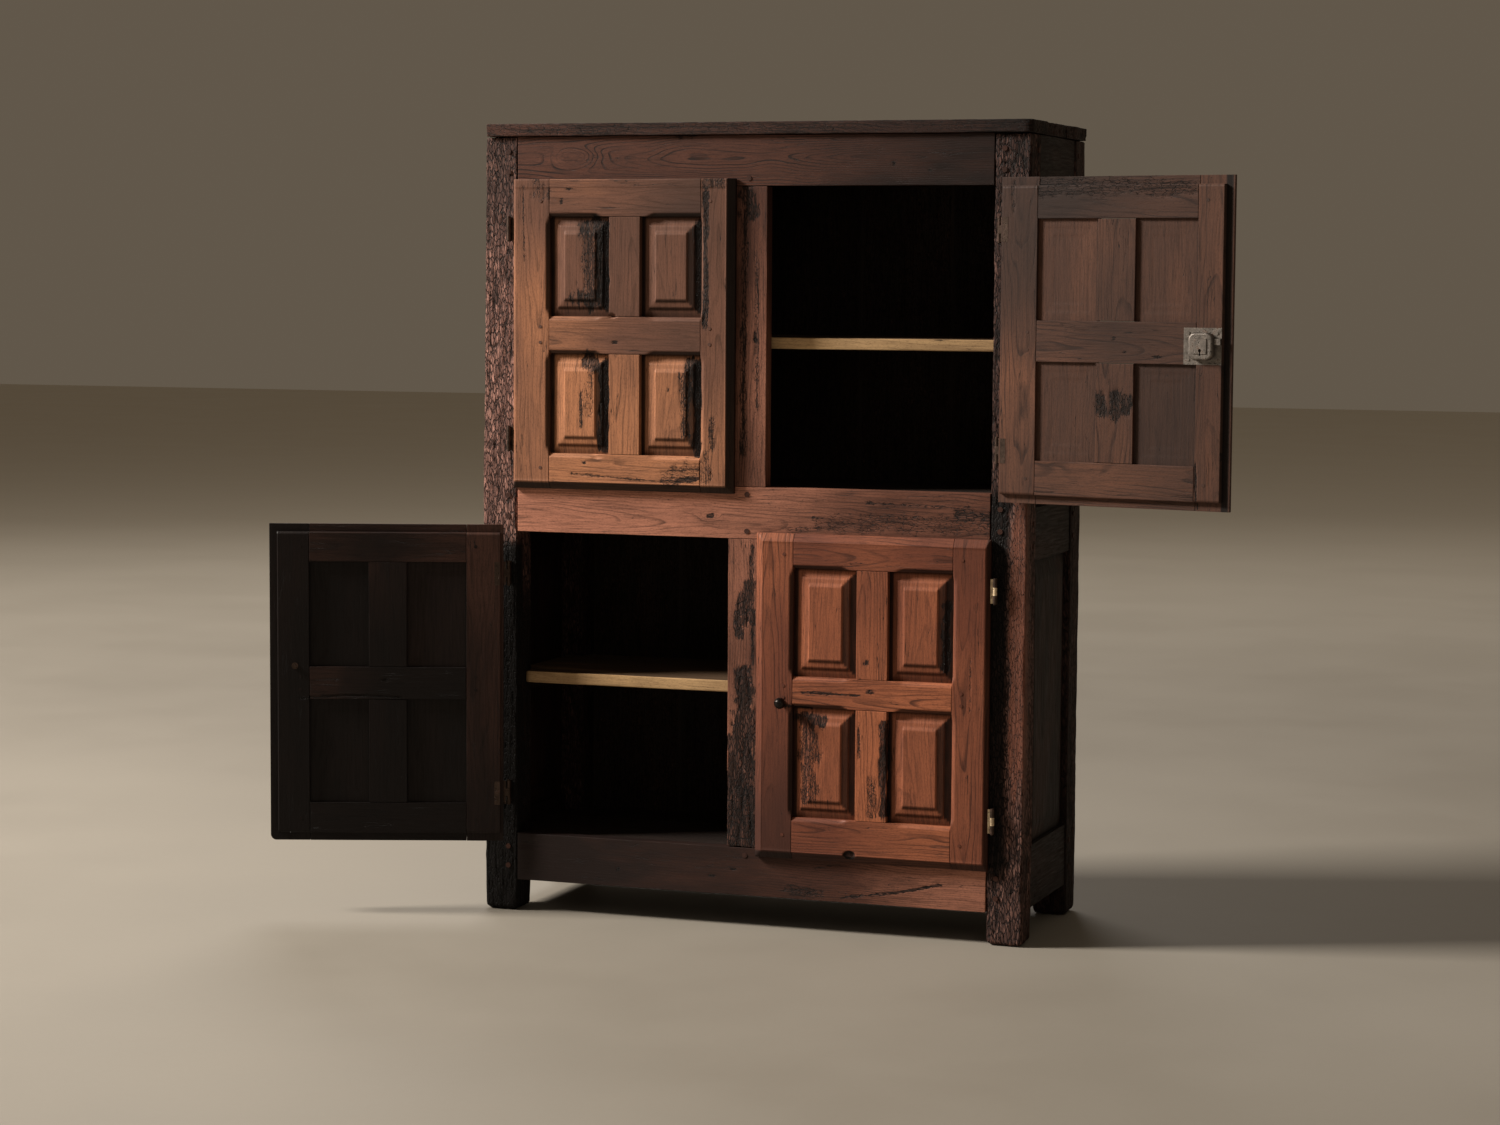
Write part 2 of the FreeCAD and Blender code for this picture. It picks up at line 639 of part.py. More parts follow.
def door_frame(name, d):
    """The seven frame members of a door, with their pegs."""
    envelope = door_envelope(d)
    y0, y1 = -door_front_proud - cut_overrun, door_back_depth + cut_overrun
    limits = {
        "hinge_stile": (0, d["stile_a"], y0, y1, d["lip_z0"], d["lip_z1"]),
        "lock_stile": (d["stile_b"], d["lip_x"], y0, y1, d["lip_z0"], d["lip_z1"]),
        "top_rail": (d["stile_a"], d["stile_b"], y0, y1, d["top_z"], d["lip_z1"]),
        "middle_rail": (d["stile_a"], d["stile_b"], y0, y1, d["middle_z0"], d["middle_z1"]),
        "bottom_rail": (d["stile_a"], d["stile_b"], y0, y1, d["lip_z0"], d["bottom_z"]),
        "lower_muntin": (d["muntin_a"], d["muntin_b"], y0, y1, d["bottom_z"], d["middle_z0"]),
        "upper_muntin": (d["muntin_a"], d["muntin_b"], y0, y1, d["middle_z1"], d["top_z"]),
    }
    members = {n: solid_of(b).common(envelope) for n, b in limits.items()}
    back = door_back_depth - panel_back_recess
    groove_y = (back - panel_tongue_thickness - panel_groove_clearance, back + panel_groove_clearance)
    grooves = []
    for x0, x1, z0, z1 in panel_openings(d):
        g = panel_groove_depth
        grooves.append(solid_of((x0 - g, x1 + g, groove_y[0], groove_y[1], z0 - g, z1 + g)))
    members = {n: cut_all(s, grooves) for n, s in members.items()}
    pegs = []
    t0 = (sum(groove_y) - door_tenon_thickness) / 2
    t1 = t0 + door_tenon_thickness
    outer, inner = door_tenon_outer_shoulder, door_tenon_inner_shoulder
    spans = {"top_rail": (d["top_z"] + inner, d["lip_z1"] - outer),
             "middle_rail": (d["middle_z0"] + inner, d["middle_z1"] - inner),
             "bottom_rail": (d["lip_z0"] + outer, d["bottom_z"] - inner)}
    for rail, (low, high) in spans.items():
        for stile, a, b in (("hinge_stile", d["stile_a"] - door_tenon_length, d["stile_a"]),
                            ("lock_stile", d["stile_b"], d["stile_b"] + door_tenon_length)):
            tenon = (a, b, t0, t1, low, high)
            members[rail] = members[rail].fuse(solid_of(tenon))
            members[stile] = members[stile].cut(solid_of(grown(tenon, tenon_clearance)))
            heights = spread(low, high) if rail == "middle_rail" else ((low + high) / 2,)
            for z in heights:
                front = V((a + b) / 2, -door_front_proud - door_peg_proud, z)
                rear = V((a + b) / 2, door_back_depth, z)
                past = V(0, cut_overrun, 0)
                hole = rod(door_peg_radius + peg_clearance, front - past, rear + past)
                members[rail] = members[rail].cut(hole)
                members[stile] = members[stile].cut(hole)
                pegs.append(rod(door_peg_radius, front, rear))
    reach = door_muntin_tenon_length
    for muntin, rail, a, b in (("lower_muntin", "bottom_rail", d["bottom_z"] - reach, d["bottom_z"]),
                               ("lower_muntin", "middle_rail", d["middle_z0"], d["middle_z0"] + reach),
                               ("upper_muntin", "middle_rail", d["middle_z1"] - reach, d["middle_z1"]),
                               ("upper_muntin", "top_rail", d["top_z"], d["top_z"] + reach)):
        tenon = (d["muntin_a"] + inner, d["muntin_b"] - inner, t0, t1, a, b)
        members[muntin] = members[muntin].fuse(solid_of(tenon))
        members[rail] = members[rail].cut(solid_of(grown(tenon, tenon_clearance)))
    edges = {"top_rail": [(d["top_z"], -1)], "middle_rail": [(d["middle_z1"], 1), (d["middle_z0"], -1)],
             "bottom_rail": [(d["bottom_z"], 1)]}
    for rail, faces in edges.items():
        for edge, outward in faces:
            members[rail] = cut_all(members[rail], rail_chamfers(d, edge, outward))
    members["hinge_stile"] = cut_all(members["hinge_stile"], stile_chamfers(d, d["stile_a"], 1))
    members["lock_stile"] = cut_all(members["lock_stile"], stile_chamfers(d, d["stile_b"], -1))
    return members, pegs


def hinge_heights(d):
    return (d["lip_z0"] + hinge_from_end, d["lip_z1"] - hinge_from_end)


def knuckle_spans(centre):
    """Limits of the lower, middle and upper knuckle of a hinge."""
    low, pitch = centre - hinge_length / 2, hinge_length / 3
    half = knuckle_gap / 2
    return [(low, low + pitch - half), (low + pitch + half, low + 2 * pitch - half),
            (low + 2 * pitch + half, low + hinge_length)]


def bored_knuckle(x, span):
    axis = V(x, -hinge_axis_forward, span[0])
    shape = rod(knuckle_radius, axis, V(axis.x, axis.y, span[1]))
    past = V(0, 0, knuckle_gap)
    return shape, rod(pin_radius + pin_clearance, axis - past, V(axis.x, axis.y, span[1]) + past)


def door_leaf(centre):
    """The cranked leaf: a knuckle, an arm, a web let into the door's edge and a flange let into its back."""
    x = -hinge_side_clearance - hinge_axis_out
    span = knuckle_spans(centre)[1]
    knuckle, bore = bored_knuckle(x, span)
    y0 = -hinge_axis_forward + door_leaf_setback
    y1 = y0 + leaf_thickness
    clear = x + knuckle_radius + leaf_knuckle_margin
    low, high = centre - hinge_length / 2, centre + hinge_length / 2
    arm = solid_of((x, clear, y0, y1, span[0], span[1]))
    arm = arm.fuse(solid_of((clear, leaf_thickness, y0, y1, low, high)))
    web = (0, leaf_thickness, y0, door_back_depth, low, high)
    flange = (0, door_leaf_flange, door_back_depth - leaf_thickness, door_back_depth, low, high)
    leaf = knuckle.fuse(arm).fuse(solid_of(web)).fuse(solid_of(flange)).cut(bore).removeSplitter()
    pockets = [solid_of(grown(web, leaf_clearance)), solid_of(grown(flange, leaf_clearance))]
    return leaf, pockets


def post_leaf(centre):
    """The straight leaf that is driven into the post, with its two knuckles, and the pin."""
    x = -hinge_side_clearance - hinge_axis_out
    spans = knuckle_spans(centre)
    half = leaf_thickness / 2
    low, high = spans[0][0], spans[2][1]
    start = -hinge_axis_forward + knuckle_radius + leaf_knuckle_margin
    plate = (x - half, x + half, start, post_leaf_depth, low, high)
    leaf, bores = solid_of(plate), []
    for span in (spans[0], spans[2]):
        knuckle, bore = bored_knuckle(x, span)
        tab = solid_of((x - half, x + half, -hinge_axis_forward, start, span[0], span[1]))
        leaf = leaf.fuse(knuckle).fuse(tab)
        bores.append(bore)
    leaf = cut_all(leaf, bores).removeSplitter()
    foot, head = V(x, -hinge_axis_forward, low), V(x, -hinge_axis_forward, high)
    cap = V(0, 0, pin_head_height)
    pin = rod(pin_radius, foot, head).fuse(rod(pin_head_radius, head, head + cap))
    pin = pin.fuse(rod(pin_head_radius, foot - cap, foot)).removeSplitter()
    return leaf, pin, solid_of(grown(plate, leaf_clearance))


def knob(x, z):
    """A turned iron knob, with its shank through the stile and riveted over a small plate behind."""
    face = -door_front_proud
    collar, tail = face - knob_collar_height, door_back_depth + knob_rove_thickness + knob_tail
    outline = [(0, face - knob_reach), (knob_neck_radius, face - knob_reach), (knob_neck_radius, collar),
               (knob_collar_radius, collar), (knob_collar_radius, face), (knob_shank_radius, face),
               (knob_shank_radius, tail), (0, tail)]
    points = [V(x + r, y, z) for r, y in outline]
    body = Part.Face(Part.makePolygon(points + [points[0]])).revolve(V(x, 0, z), V(0, 1, 0), 360)
    ball = Part.makeSphere(knob_ball_radius, V(x, face - knob_reach, z))
    bore = knob_shank_radius + knob_hole_clearance
    back, out = V(x, door_back_depth, z), V(x, door_back_depth + knob_rove_thickness, z)
    rove = rod(knob_rove_radius, back, out).cut(rod(bore, back, out))
    past = V(0, cut_overrun, 0)
    hole = rod(bore, V(x, face, z) - past, back + past)
    return [body.fuse(ball), rove], hole


def keyhole(x, z, y0, y1):
    """A round hole with a slot below it, as a cutter through a range of depths."""
    eye = rod(keyhole_radius, V(x, y0, z), V(x, y1, z))
    half = keyhole_slot_width / 2
    return eye.fuse(solid_of((x - half, x + half, y0, y1, z - keyhole_slot_length, z)))


def lock(d):
    """The rim lock: a plate let in flush, a domed case over the bolt, and the bolt."""
    back, edge = door_back_depth, d["plate_x"]
    x1 = edge - lock_plate_edge_gap
    x0 = x1 - lock_plate_width
    lock_height = d["middle"] + lock_rise
    z0, z1 = lock_height - lock_plate_height / 2, lock_height + lock_plate_height / 2
    plate_limits = (x0, x1, back - lock_plate_thickness, back, z0, z1)
    centre = edge - lock_case_from_edge
    case_limits = (centre - lock_case_width / 2, centre + lock_case_width / 2, back, back + lock_case_depth,
                   lock_height - lock_case_height / 2, lock_height + lock_case_height / 2)
    case = rounded_case(case_limits, lock_case_corner_radius, lock_case_face_radius)
    wall = lock_case_wall
    hollow = (case_limits[0] + wall, case_limits[1] - wall, back - wall, back + lock_case_depth - wall,
              case_limits[4] + wall, case_limits[5] - wall)
    inner_face_radius = lock_case_face_radius - wall
    boss = inset((case_limits[0], case_limits[1], case_limits[4], case_limits[5]), lock_case_boss_inset)
    top_y = back + lock_case_depth
    crown = inset(boss, lock_case_boss_height)
    case = case.fuse(slope(boss, top_y - wall / 2, crown, top_y + lock_case_boss_height))
    tab_z = case_limits[5] - lock_tab_thickness
    half = lock_tab_half_width
    apex = V(centre, back, tab_z + lock_tab_thickness + lock_tab_height)
    left_foot, right_foot = V(centre - half, back, tab_z), V(centre + half, back, tab_z)
    gable = Part.makePolygon([left_foot, right_foot, apex, left_foot])
    case = case.fuse(Part.Face(gable).extrude(V(0, lock_tab_thickness, 0)))
    case = case.cut(rounded_case(hollow, lock_case_corner_radius - wall, inner_face_radius))
    bolt_z = lock_height + bolt_rise
    bolt_limits = (x1 - bolt_length, x1, back + bolt_gap, back + bolt_gap + bolt_thickness,
                   bolt_z - bolt_height / 2, bolt_z + bolt_height / 2)
    slot = (centre, edge, back - wall, bolt_limits[3] + bolt_gap,
            bolt_limits[4] - bolt_gap, bolt_limits[5] + bolt_gap)
    case = case.cut(solid_of(slot))
    key_z = lock_height - keyhole_drop
    through = keyhole(centre, key_z, -door_front_proud - cut_overrun, top_y + cut_overrun)
    plate = solid_of(plate_limits).cut(through)
    nails, nail_holes = [], []
    for x in (x0 + lock_nail_inset, x1 - lock_nail_inset):
        for z in (z0 + lock_nail_inset, z1 - lock_nail_inset):
            at = V(x, back, z)
            point = at - V(0, lock_nail_length, 0)
            head = rod(lock_nail_head_radius, at, at + V(0, lock_nail_head_height, 0))
            nails.append(head.fuse(rod(lock_nail_radius, point, at)))
            nail_holes.append(rod(lock_nail_radius + peg_clearance, point, at))
    plate = cut_all(plate, nail_holes)
    cutters = [solid_of(grown(plate_limits, leaf_clearance)), through] + nail_holes
    return [plate, case.cut(through)] + nails, solid_of(bolt_limits), cutters, bolt_limits


def rounded_case(b, corner_radius, face_radius):
    """A box with round corners seen from behind the door, and a softened face."""
    shape = solid_of(b)
    corners = [e for e in shape.Edges if abs(e.tangentAt(e.FirstParameter).y) > 1 - edge_match]
    shape = shape.makeFillet(corner_radius, corners)
    rim = [e for e in shape.Edges if abs(e.BoundBox.YMin - b[3]) < edge_match
           and abs(e.BoundBox.YMax - b[3]) < edge_match]
    return shape.makeFillet(face_radius, rim)


def place_door(name, shapes, angle):
    """Moves shapes from a door's own measure to its opening, and swings them open."""
    x0, x1 = door_openings[name][:2]
    placed = []
    for shape in shapes:
        if door_hinge_side[name] == "left":
            moved = shape.copy()
            moved.translate(V(x0 + hinge_side_clearance, 0, 0))
            turn, axis_x = -angle, x0 - hinge_axis_out
        else:
            moved = shape.mirror(V(0, 0, 0), V(1, 0, 0))
            moved.translate(V(x1 - hinge_side_clearance, 0, 0))
            turn, axis_x = angle, x1 + hinge_axis_out
        if turn:
            moved.rotate(V(axis_x, -hinge_axis_forward, 0), V(0, 0, 1), turn)
        placed.append(moved)
    return placed


def make_door(name, frame, nodes, frame_hinges):
    """Builds one door with its hinges and fittings, and cuts the post and muntin for them."""
    d = door_sizes(name)
    members, pegs = door_frame(name, d)
    fittings, leaves = {}, []
    post = f"front_{door_hinge_side[name]}_post"
    for centre in hinge_heights(d):
        leaf, pockets = door_leaf(centre)
        members["hinge_stile"] = cut_all(members["hinge_stile"], pockets)
        leaves.append(leaf)
        fixed, pin, mortise = post_leaf(centre)
        frame_hinges += place_door(name, [fixed, pin], 0)
        frame.cut(post, place_door(name, [mortise], 0)[0])
    knobs = {"lower_right": (lower_right_knob_from_edge, lower_right_knob_rise),
             "lower_left": (lower_left_knob_from_edge, lower_left_knob_rise)}
    if name in knobs:
        from_edge, rise = knobs[name]
        fittings[f"{name}_door_knob"], hole = knob(d["lip_x"] - from_edge, d["middle"] + rise)
        for member in ("lock_stile", "middle_rail"):
            members[member] = members[member].cut(hole)
    if name == "upper_right":
        fittings["rim_lock"], bolt, cutters, bolt_limits = lock(d)
        fittings["lock_bolt"] = [bolt]
        for member in ("lock_stile", "middle_rail"):
            members[member] = cut_all(members[member], cutters)
        pegs = [cut_all(peg, cutters) for peg in pegs]
        keep = grown(bolt_limits, bolt_keep_clearance)
        keep = (keep[0] + bolt_travel, keep[1] + bolt_travel) + keep[2:]
        frame.cut("upper_muntin", place_door(name, [solid_of(keep)], 0)[0])
    angle = door_open_angle[name]
    for member in ("hinge_stile", "lock_stile", "top_rail", "middle_rail", "bottom_rail"):
        nodes[f"{name}_door_{member}"] = place_door(name, [members[member]], angle)
    muntins = [members["lower_muntin"], members["upper_muntin"]]
    nodes[f"{name}_door_muntins"] = place_door(name, muntins, angle)
    panels = [raised_panel(opening) for opening in panel_openings(d)]
    nodes[f"{name}_door_panels"] = place_door(name, panels, angle)
    nodes[f"{name}_door_pegs"] = place_door(name, pegs, angle)
    nodes[f"{name}_door_hinge_leaves"] = place_door(name, leaves, angle)
    for fitting, shapes in fittings.items():
        nodes[fitting] = place_door(name, shapes, angle)


def build():
    nodes = {}
    frame = Frame()
    make_posts(frame)
    make_front(frame)
    side_panels = make_side(frame, "left") + make_side(frame, "right")
    make_rear(frame)
    make_top(frame)
    frame_hinges = []
    for name in door_openings:
        make_door(name, frame, nodes, frame_hinges)
    m = frame.members
    for name in ("front_left_post", "front_right_post", "rear_left_post", "rear_right_post",
                 "front_top_rail", "front_middle_rail", "front_bottom_rail"):
        nodes[name] = [m[name]]
    nodes["front_muntins"] = [m["upper_muntin"], m["lower_muntin"]]
    nodes["side_rails"] = [s for n, s in m.items() if n.endswith("_side_rail")]
    nodes["side_panels"] = side_panels
    nodes["rear_rails"] = [m["rear_top_rail"], m["rear_middle_rail"], m["rear_bottom_rail"]]
    nodes["back_boards"] = [s for n, s in m.items() if n.startswith("back_board_")]
    nodes["top_boards"] = [s for n, s in m.items() if n.startswith("top_board_")]
    nodes["upper_shelf"] = [make_shelf(upper_shelf_bottom)]
    nodes["lower_shelf"] = [make_shelf(lower_shelf_bottom)]
    nodes["floor_boards"] = make_floor(middle_floor_top) + make_floor(bottom_floor_top)
    nodes["shelf_battens"] = make_battens()
    nodes["carcass_pegs"] = frame.pegs
    nodes["nails"] = frame.nails
    nodes["post_hinge_leaves"] = frame_hinges
    return nodes


os.makedirs("parts", exist_ok=True)
for node, shapes in build().items():
    shape = shapes[0] if len(shapes) == 1 else Part.makeCompound(shapes)
    shape.exportStep(f"parts/{node}.step")
    solids = len(shape.Solids)
    print(f"{node}: {solids} solids, volume {shape.Volume / 1000:.1f} cm3, valid {shape.isValid()}")
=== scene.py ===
import json
import math
from dataclasses import dataclass, replace
from typing import Callable

import bpy
import numpy as np
from mathutils import Matrix


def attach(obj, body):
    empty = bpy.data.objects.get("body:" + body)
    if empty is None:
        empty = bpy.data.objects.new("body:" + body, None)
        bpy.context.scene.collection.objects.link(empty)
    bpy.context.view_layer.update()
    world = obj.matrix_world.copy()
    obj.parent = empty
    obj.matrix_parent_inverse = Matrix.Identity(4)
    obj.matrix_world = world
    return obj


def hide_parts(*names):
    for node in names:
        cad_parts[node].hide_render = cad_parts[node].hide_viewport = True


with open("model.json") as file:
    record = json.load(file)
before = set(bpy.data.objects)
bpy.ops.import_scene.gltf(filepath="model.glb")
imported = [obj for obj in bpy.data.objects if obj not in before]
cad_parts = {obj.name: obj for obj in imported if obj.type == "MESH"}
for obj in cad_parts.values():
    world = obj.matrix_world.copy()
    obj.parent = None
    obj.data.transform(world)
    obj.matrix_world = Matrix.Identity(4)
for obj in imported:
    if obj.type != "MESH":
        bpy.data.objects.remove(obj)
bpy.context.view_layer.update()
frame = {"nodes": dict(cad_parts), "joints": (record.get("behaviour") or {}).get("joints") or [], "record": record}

# Weathered oak court cupboard. Shapes are worked out in millimetres and stored in metres.
MM = 0.001

# Camera, as the photograph was taken
camera_place = (2.924, -6.566, 1.360)
camera_yaw = math.radians(19.45)
camera_pitch = math.radians(-4.82)
camera_roll = math.radians(0.38)
camera_lens, camera_sensor = 80.28, 36.0

# Lights, with their azimuth measured to the left of the front
aim = (0.6, 0.0, 0.95)
pale_light = (1.0, 0.95, 0.9)
lights = {
    "key": dict(azimuth=69.0, elevation=33.0, distance=8.0, size=1.8, power=1200.0, colour=(1.0, 0.93, 0.84)),
    "fill": dict(azimuth=-30.0, elevation=20.0, distance=5.0, size=3.0, power=8.0, colour=pale_light),
    "back": dict(azimuth=152.0, elevation=38.0, distance=9.0, size=4.0, power=190.0, colour=pale_light),
}
world_colour, world_strength = (0.80, 0.64, 0.46), 0.15
floor_half_size = 30.0
near_floor_colours = ((0.274, 0.247, 0.208), (0.290, 0.262, 0.221))
far_floor_colour = (0.68, 0.62, 0.52)

# Grid of the boards: lines near both ends, and steps across and along the grain
edge_lines = (0.5, 1.2, 2.2, 3.8)
closest_lines = 0.15
usual_grid, fine_grid, door_grid = (2.5, 7.0), (2.0, 5.0), (2.2, 6.0)
side_rail_grid, side_panel_grid, rear_post_grid = (3.0, 8.0), (3.4, 10.0), (3.6, 9.0)
shelf_grid, inner_grid, coarse_grid = (4.0, 9.0), (4.0, 12.0), (4.5, 12.0)

# How far the finished wood lies inside the sawn size, so that pegs and iron stand a little proud
wood_inset = 0.3
rebate_step = 0.3

cad_nodes = frame["nodes"]
body_of_node = {n: b for b, ns in frame["record"]["behaviour"]["bodies"].items() for n in ns}


def mixed(a, b, share):
    return a * (1 - share) + b * share


def rise(value, start, end):
    """0 before start, 1 after end, and a smooth rise between."""
    t = np.clip((value - start) / (end - start), 0, 1)
    return t * t * (3 - 2 * t)


def fall(value, start, end):
    return 1 - rise(value, start, end)


def bump_at(value, place, width):
    """A soft peak of height 1."""
    return np.exp(-((value - place) / width) ** 2)


def full(value):
    return lambda p: np.full(len(p), value)


def moved(points, axis, values):
    """A copy of the points with new values on one axis."""
    out = points.copy()
    out[:, axis] = values
    return out


def margin(points, axes, low, high):
    """Distance from the nearest side of a box, measured only on the given axes."""
    return np.minimum.reduce([away for a in axes for away in (points[:, a] - low[a], high[a] - points[:, a])])


def between_stations(value, stations):
    at, offsets = zip(*stations)
    return np.interp(value, at, offsets)


def hashed(cells, seed):
    """A repeatable number from 0 to 1 for each whole-numbered cell."""
    h = cells[:, 0] * 73856093 ^ cells[:, 1] * 19349663 ^ cells[:, 2] * 83492791 ^ seed * 2654435761
    h = ((h ^ (h >> 13)) * 1274126177) & 0xFFFFFFFF
    h = ((h ^ (h >> 15)) * 2246822519) & 0xFFFFFFFF
    return ((h ^ (h >> 16)) & 0xFFFFFF) / 0xFFFFFF


def noise(points, size, seed):
    """Smooth noise from -1 to 1, with cells of the given size in millimetres along each axis."""
    p = points / np.asarray(size, float)
    base = np.floor(p).astype(np.int64)
    t = p - base
    t = t * t * (3 - 2 * t)
    total = np.zeros(len(p))
    for corner in np.ndindex(2, 2, 2):
        weight = np.prod(np.where(corner, t, 1 - t), axis=1)
        total += weight * hashed(base + corner, seed)
    return 2 * total - 1


def noise_share(points, size, seed):
    """The same noise from 0 to 1."""
    return 0.5 + 0.5 * noise(points, size, seed)


# Noises of the boards: cells in millimetres along the grain and across it, and strengths
wear_cell_along, wear_cell_across = 60.0, 300.0
undulation_cell, tone_cell, wander_cell = (240, 55, 55), (320, 60, 60), (150, 35, 35)
tone_wander, groove_wander = 0.10, 4.0
opposite_side_shift, seed_shift, seed_shifts = 311.0, 977.0, 89


@dataclass
class Look:
    """How one member has aged and where shade is painted on it, in millimetres; a knot is (place along, place
    across, reach, swell).
    """
    edge: float = 0.9
    edge_wear: float = 0.9
    weathered_edge: float = 4.0
    undulation: float = 0.35
    groove: float = 2.2
    groove_size: float = 9.0
    weather: Callable = full(0.0)
    grime: Callable = full(0.0)
    extra_radius: Callable = full(0.0)
    tones: tuple = (0.5,)
    tone_at: Callable = full(0.0)
    figure: float = 0.7
    pith: tuple = (25.0, 60.0)
    tilt: float = 0.05
    knots: tuple = ()
    grid: tuple = usual_grid


def lines(low, high, step, marks=()):
    """Grid lines from low to high: close together at both ends, and at each mark."""
    ends = [low + e for e in edge_lines] + [high - e for e in edge_lines]
    fixed = sorted(v for v in {low, high, *ends, *marks} if low <= v <= high)
    kept = [fixed[0]]
    for value in fixed[1:]:
        if value - kept[-1] > closest_lines:
            kept.append(value)
    kept[-1] = high
    out = [low]
    for a, b in zip(kept, kept[1:]):
        count = max(1, math.ceil((b - a) / step))
        out.extend(a + (b - a) * (i + 1) / count for i in range(count))
    return np.array(out)


def lattice(xs, ys, zs):
    """The closed surface of a box as quads on a grid, with shared corners and outward faces."""
    counts = len(xs), len(ys), len(zs)
    quads = []
    for axis in range(3):
        first, second = [a for a in range(3) if a != axis]
        grid = np.meshgrid(np.arange(counts[first]), np.arange(counts[second]), indexing="ij")
        for at, outward in ((0, -1), (counts[axis] - 1, 1)):
            index = [None] * 3
            index[axis] = np.full_like(grid[0], at)
            index[first], index[second] = grid
            ids = (index[0] * counts[1] + index[1]) * counts[2] + index[2]
            loop = np.stack([ids[:-1, :-1], ids[1:, :-1], ids[1:, 1:], ids[:-1, 1:]], axis=-1).reshape(-1, 4)
            way = outward if axis != 1 else -outward
            quads.append(loop if way > 0 else loop[:, ::-1])
    used, inverse = np.unique(np.concatenate(quads), return_inverse=True)
    i, rest = np.divmod(used, counts[1] * counts[2])
    j, k = np.divmod(rest, counts[2])
    return np.column_stack([xs[i], ys[j], zs[k]]), inverse.reshape(-1, 4)


def grain_measure(points, low, high, along, look, seed):
    """Millimetres along the grain, and across it from the heart of the tree."""
    across = [a for a in range(3) if a != along]
    middle = (low + high) / 2
    u = points[:, along] - middle[along]
    thin = across[int(np.argmin([(high - low)[a] for a in across]))]
    wide = across[0] if thin == across[1] else across[1]
    v = points[:, wide] - middle[wide] - look.pith[0]
    w = points[:, thin] - middle[thin] + look.pith[1] + look.tilt * u
    for at, off, reach, swell in look.knots:
        near = np.exp(-((u - at) / (2.2 * reach)) ** 2 - ((v + look.pith[0] - off) / reach) ** 2)
        w = w + swell * near
    return np.column_stack([u + seed_shift * (seed % seed_shifts), v, w])


def grooves(grain, seed, size):
    """Weathered grooves that follow the grain, as a share of their full depth."""
    wander = noise(grain, wander_cell, seed) * groove_wander
    bent = grain + np.column_stack([np.zeros(len(grain)), wander, wander])
    broad = 1 - np.abs(noise(bent, (9 * size, size, size), seed + 1))
    narrow = 1 - np.abs(noise(bent, (4 * size, size / 2, size / 2), seed + 2))
    return 0.65 * broad ** 6 + 0.35 * narrow ** 5


def rounded(points, low, high, radius):
    """Moves points of a box onto one with rounded edges, and gives the outward direction."""
    inner = radius[:, None]
    centre = np.clip(points, low + inner, high - inner)
    away = points - centre
    normal = away / np.maximum(np.linalg.norm(away, axis=1), 1e-6)[:, None]
    return centre + normal * inner, normal


def dented(points, centre, reach):
    """Pushes the wood out of an oval dent."""
    away = (points - centre) / reach
    share = np.maximum(np.linalg.norm(away, axis=1), 0.05)[:, None]
    return np.where(share < 1, centre + away / share * reach, points)


def corner_rounded(points, axes, at, outward, radius):
    """Rounds one corner of a board, seen square to its face."""
    out = points.copy()
    inward = [(out[:, a] - (c - s * radius)) * s for a, c, s in zip(axes, at, outward)]
    inside = (inward[0] > 0) & (inward[1] > 0)
    longest = np.maximum(inward[0], inward[1])
    share = np.where(inside, longest / np.maximum(np.hypot(*inward), 1e-6), 1.0)
    for a, c, s, reach in zip(axes, at, outward, inward):
        out[:, a] = np.where(inside, c - s * radius + s * reach * share, out[:, a])
    return out


def tone_along(value, low, high, tones):
    """Tones at even stations along a member, blended between them."""
    stations = low + (high - low) * (np.arange(len(tones)) + 0.5) / len(tones)
    return np.interp(value, stations, tones)


def board(low, high, along, look, seed, marks=((), (), ()), bend=None):
    """One wooden member: a fine lattice with worn edges, grooves and the measure of its grain."""
    low, high = np.array(low, float), np.array(high, float)
    steps = [look.grid[a == along] for a in range(3)]
    points, faces = lattice(*(lines(low[a], high[a], steps[a], marks[a]) for a in range(3)))
    grain = grain_measure(points, low, high, along, look, seed)
    weather = np.clip(look.weather(points), 0, 1)
    shifted = points + np.sign(points - (low + high) / 2) * opposite_side_shift
    cell = np.where(np.arange(3) == along, wear_cell_along, wear_cell_across)
    wear, ragged = noise_share(shifted, cell, seed + 3), noise_share(shifted, cell / 4, seed + 4)
    radius = look.edge + look.edge_wear * wear ** 2 + look.extra_radius(points)
    radius = radius + weather * look.weathered_edge * (0.6 * wear + 0.4 * ragged)
    radius = np.clip(radius, 0.1, 0.45 * (high - low).min())
    shaped, normal = rounded(points, low, high, radius)
    groove = grooves(grain, seed + 5, look.groove_size)
    slow = noise_share(grain, undulation_cell, seed + 6)
    depth = wood_inset + look.undulation * slow + look.groove * weather * groove
    shaped = shaped - normal * depth[:, None]
    if bend:
        shaped = bend(shaped)
    tone = tone_along(points[:, along], low[along], high[along], look.tones) + look.tone_at(points)
    tone = tone + tone_wander * noise(grain, tone_cell, seed + 7)
    # The shade share stored with each point is painted shade, for the material to darken.
    return {"points": shaped, "faces": faces, "grain": grain * MM, "weather": weather,
            "cavity": np.clip(groove * weather, 0, 1), "grime": np.clip(look.grime(points), 0, 1),
            "tone": np.clip(tone, 0, 1), "figure": np.full(len(points), look.figure)}


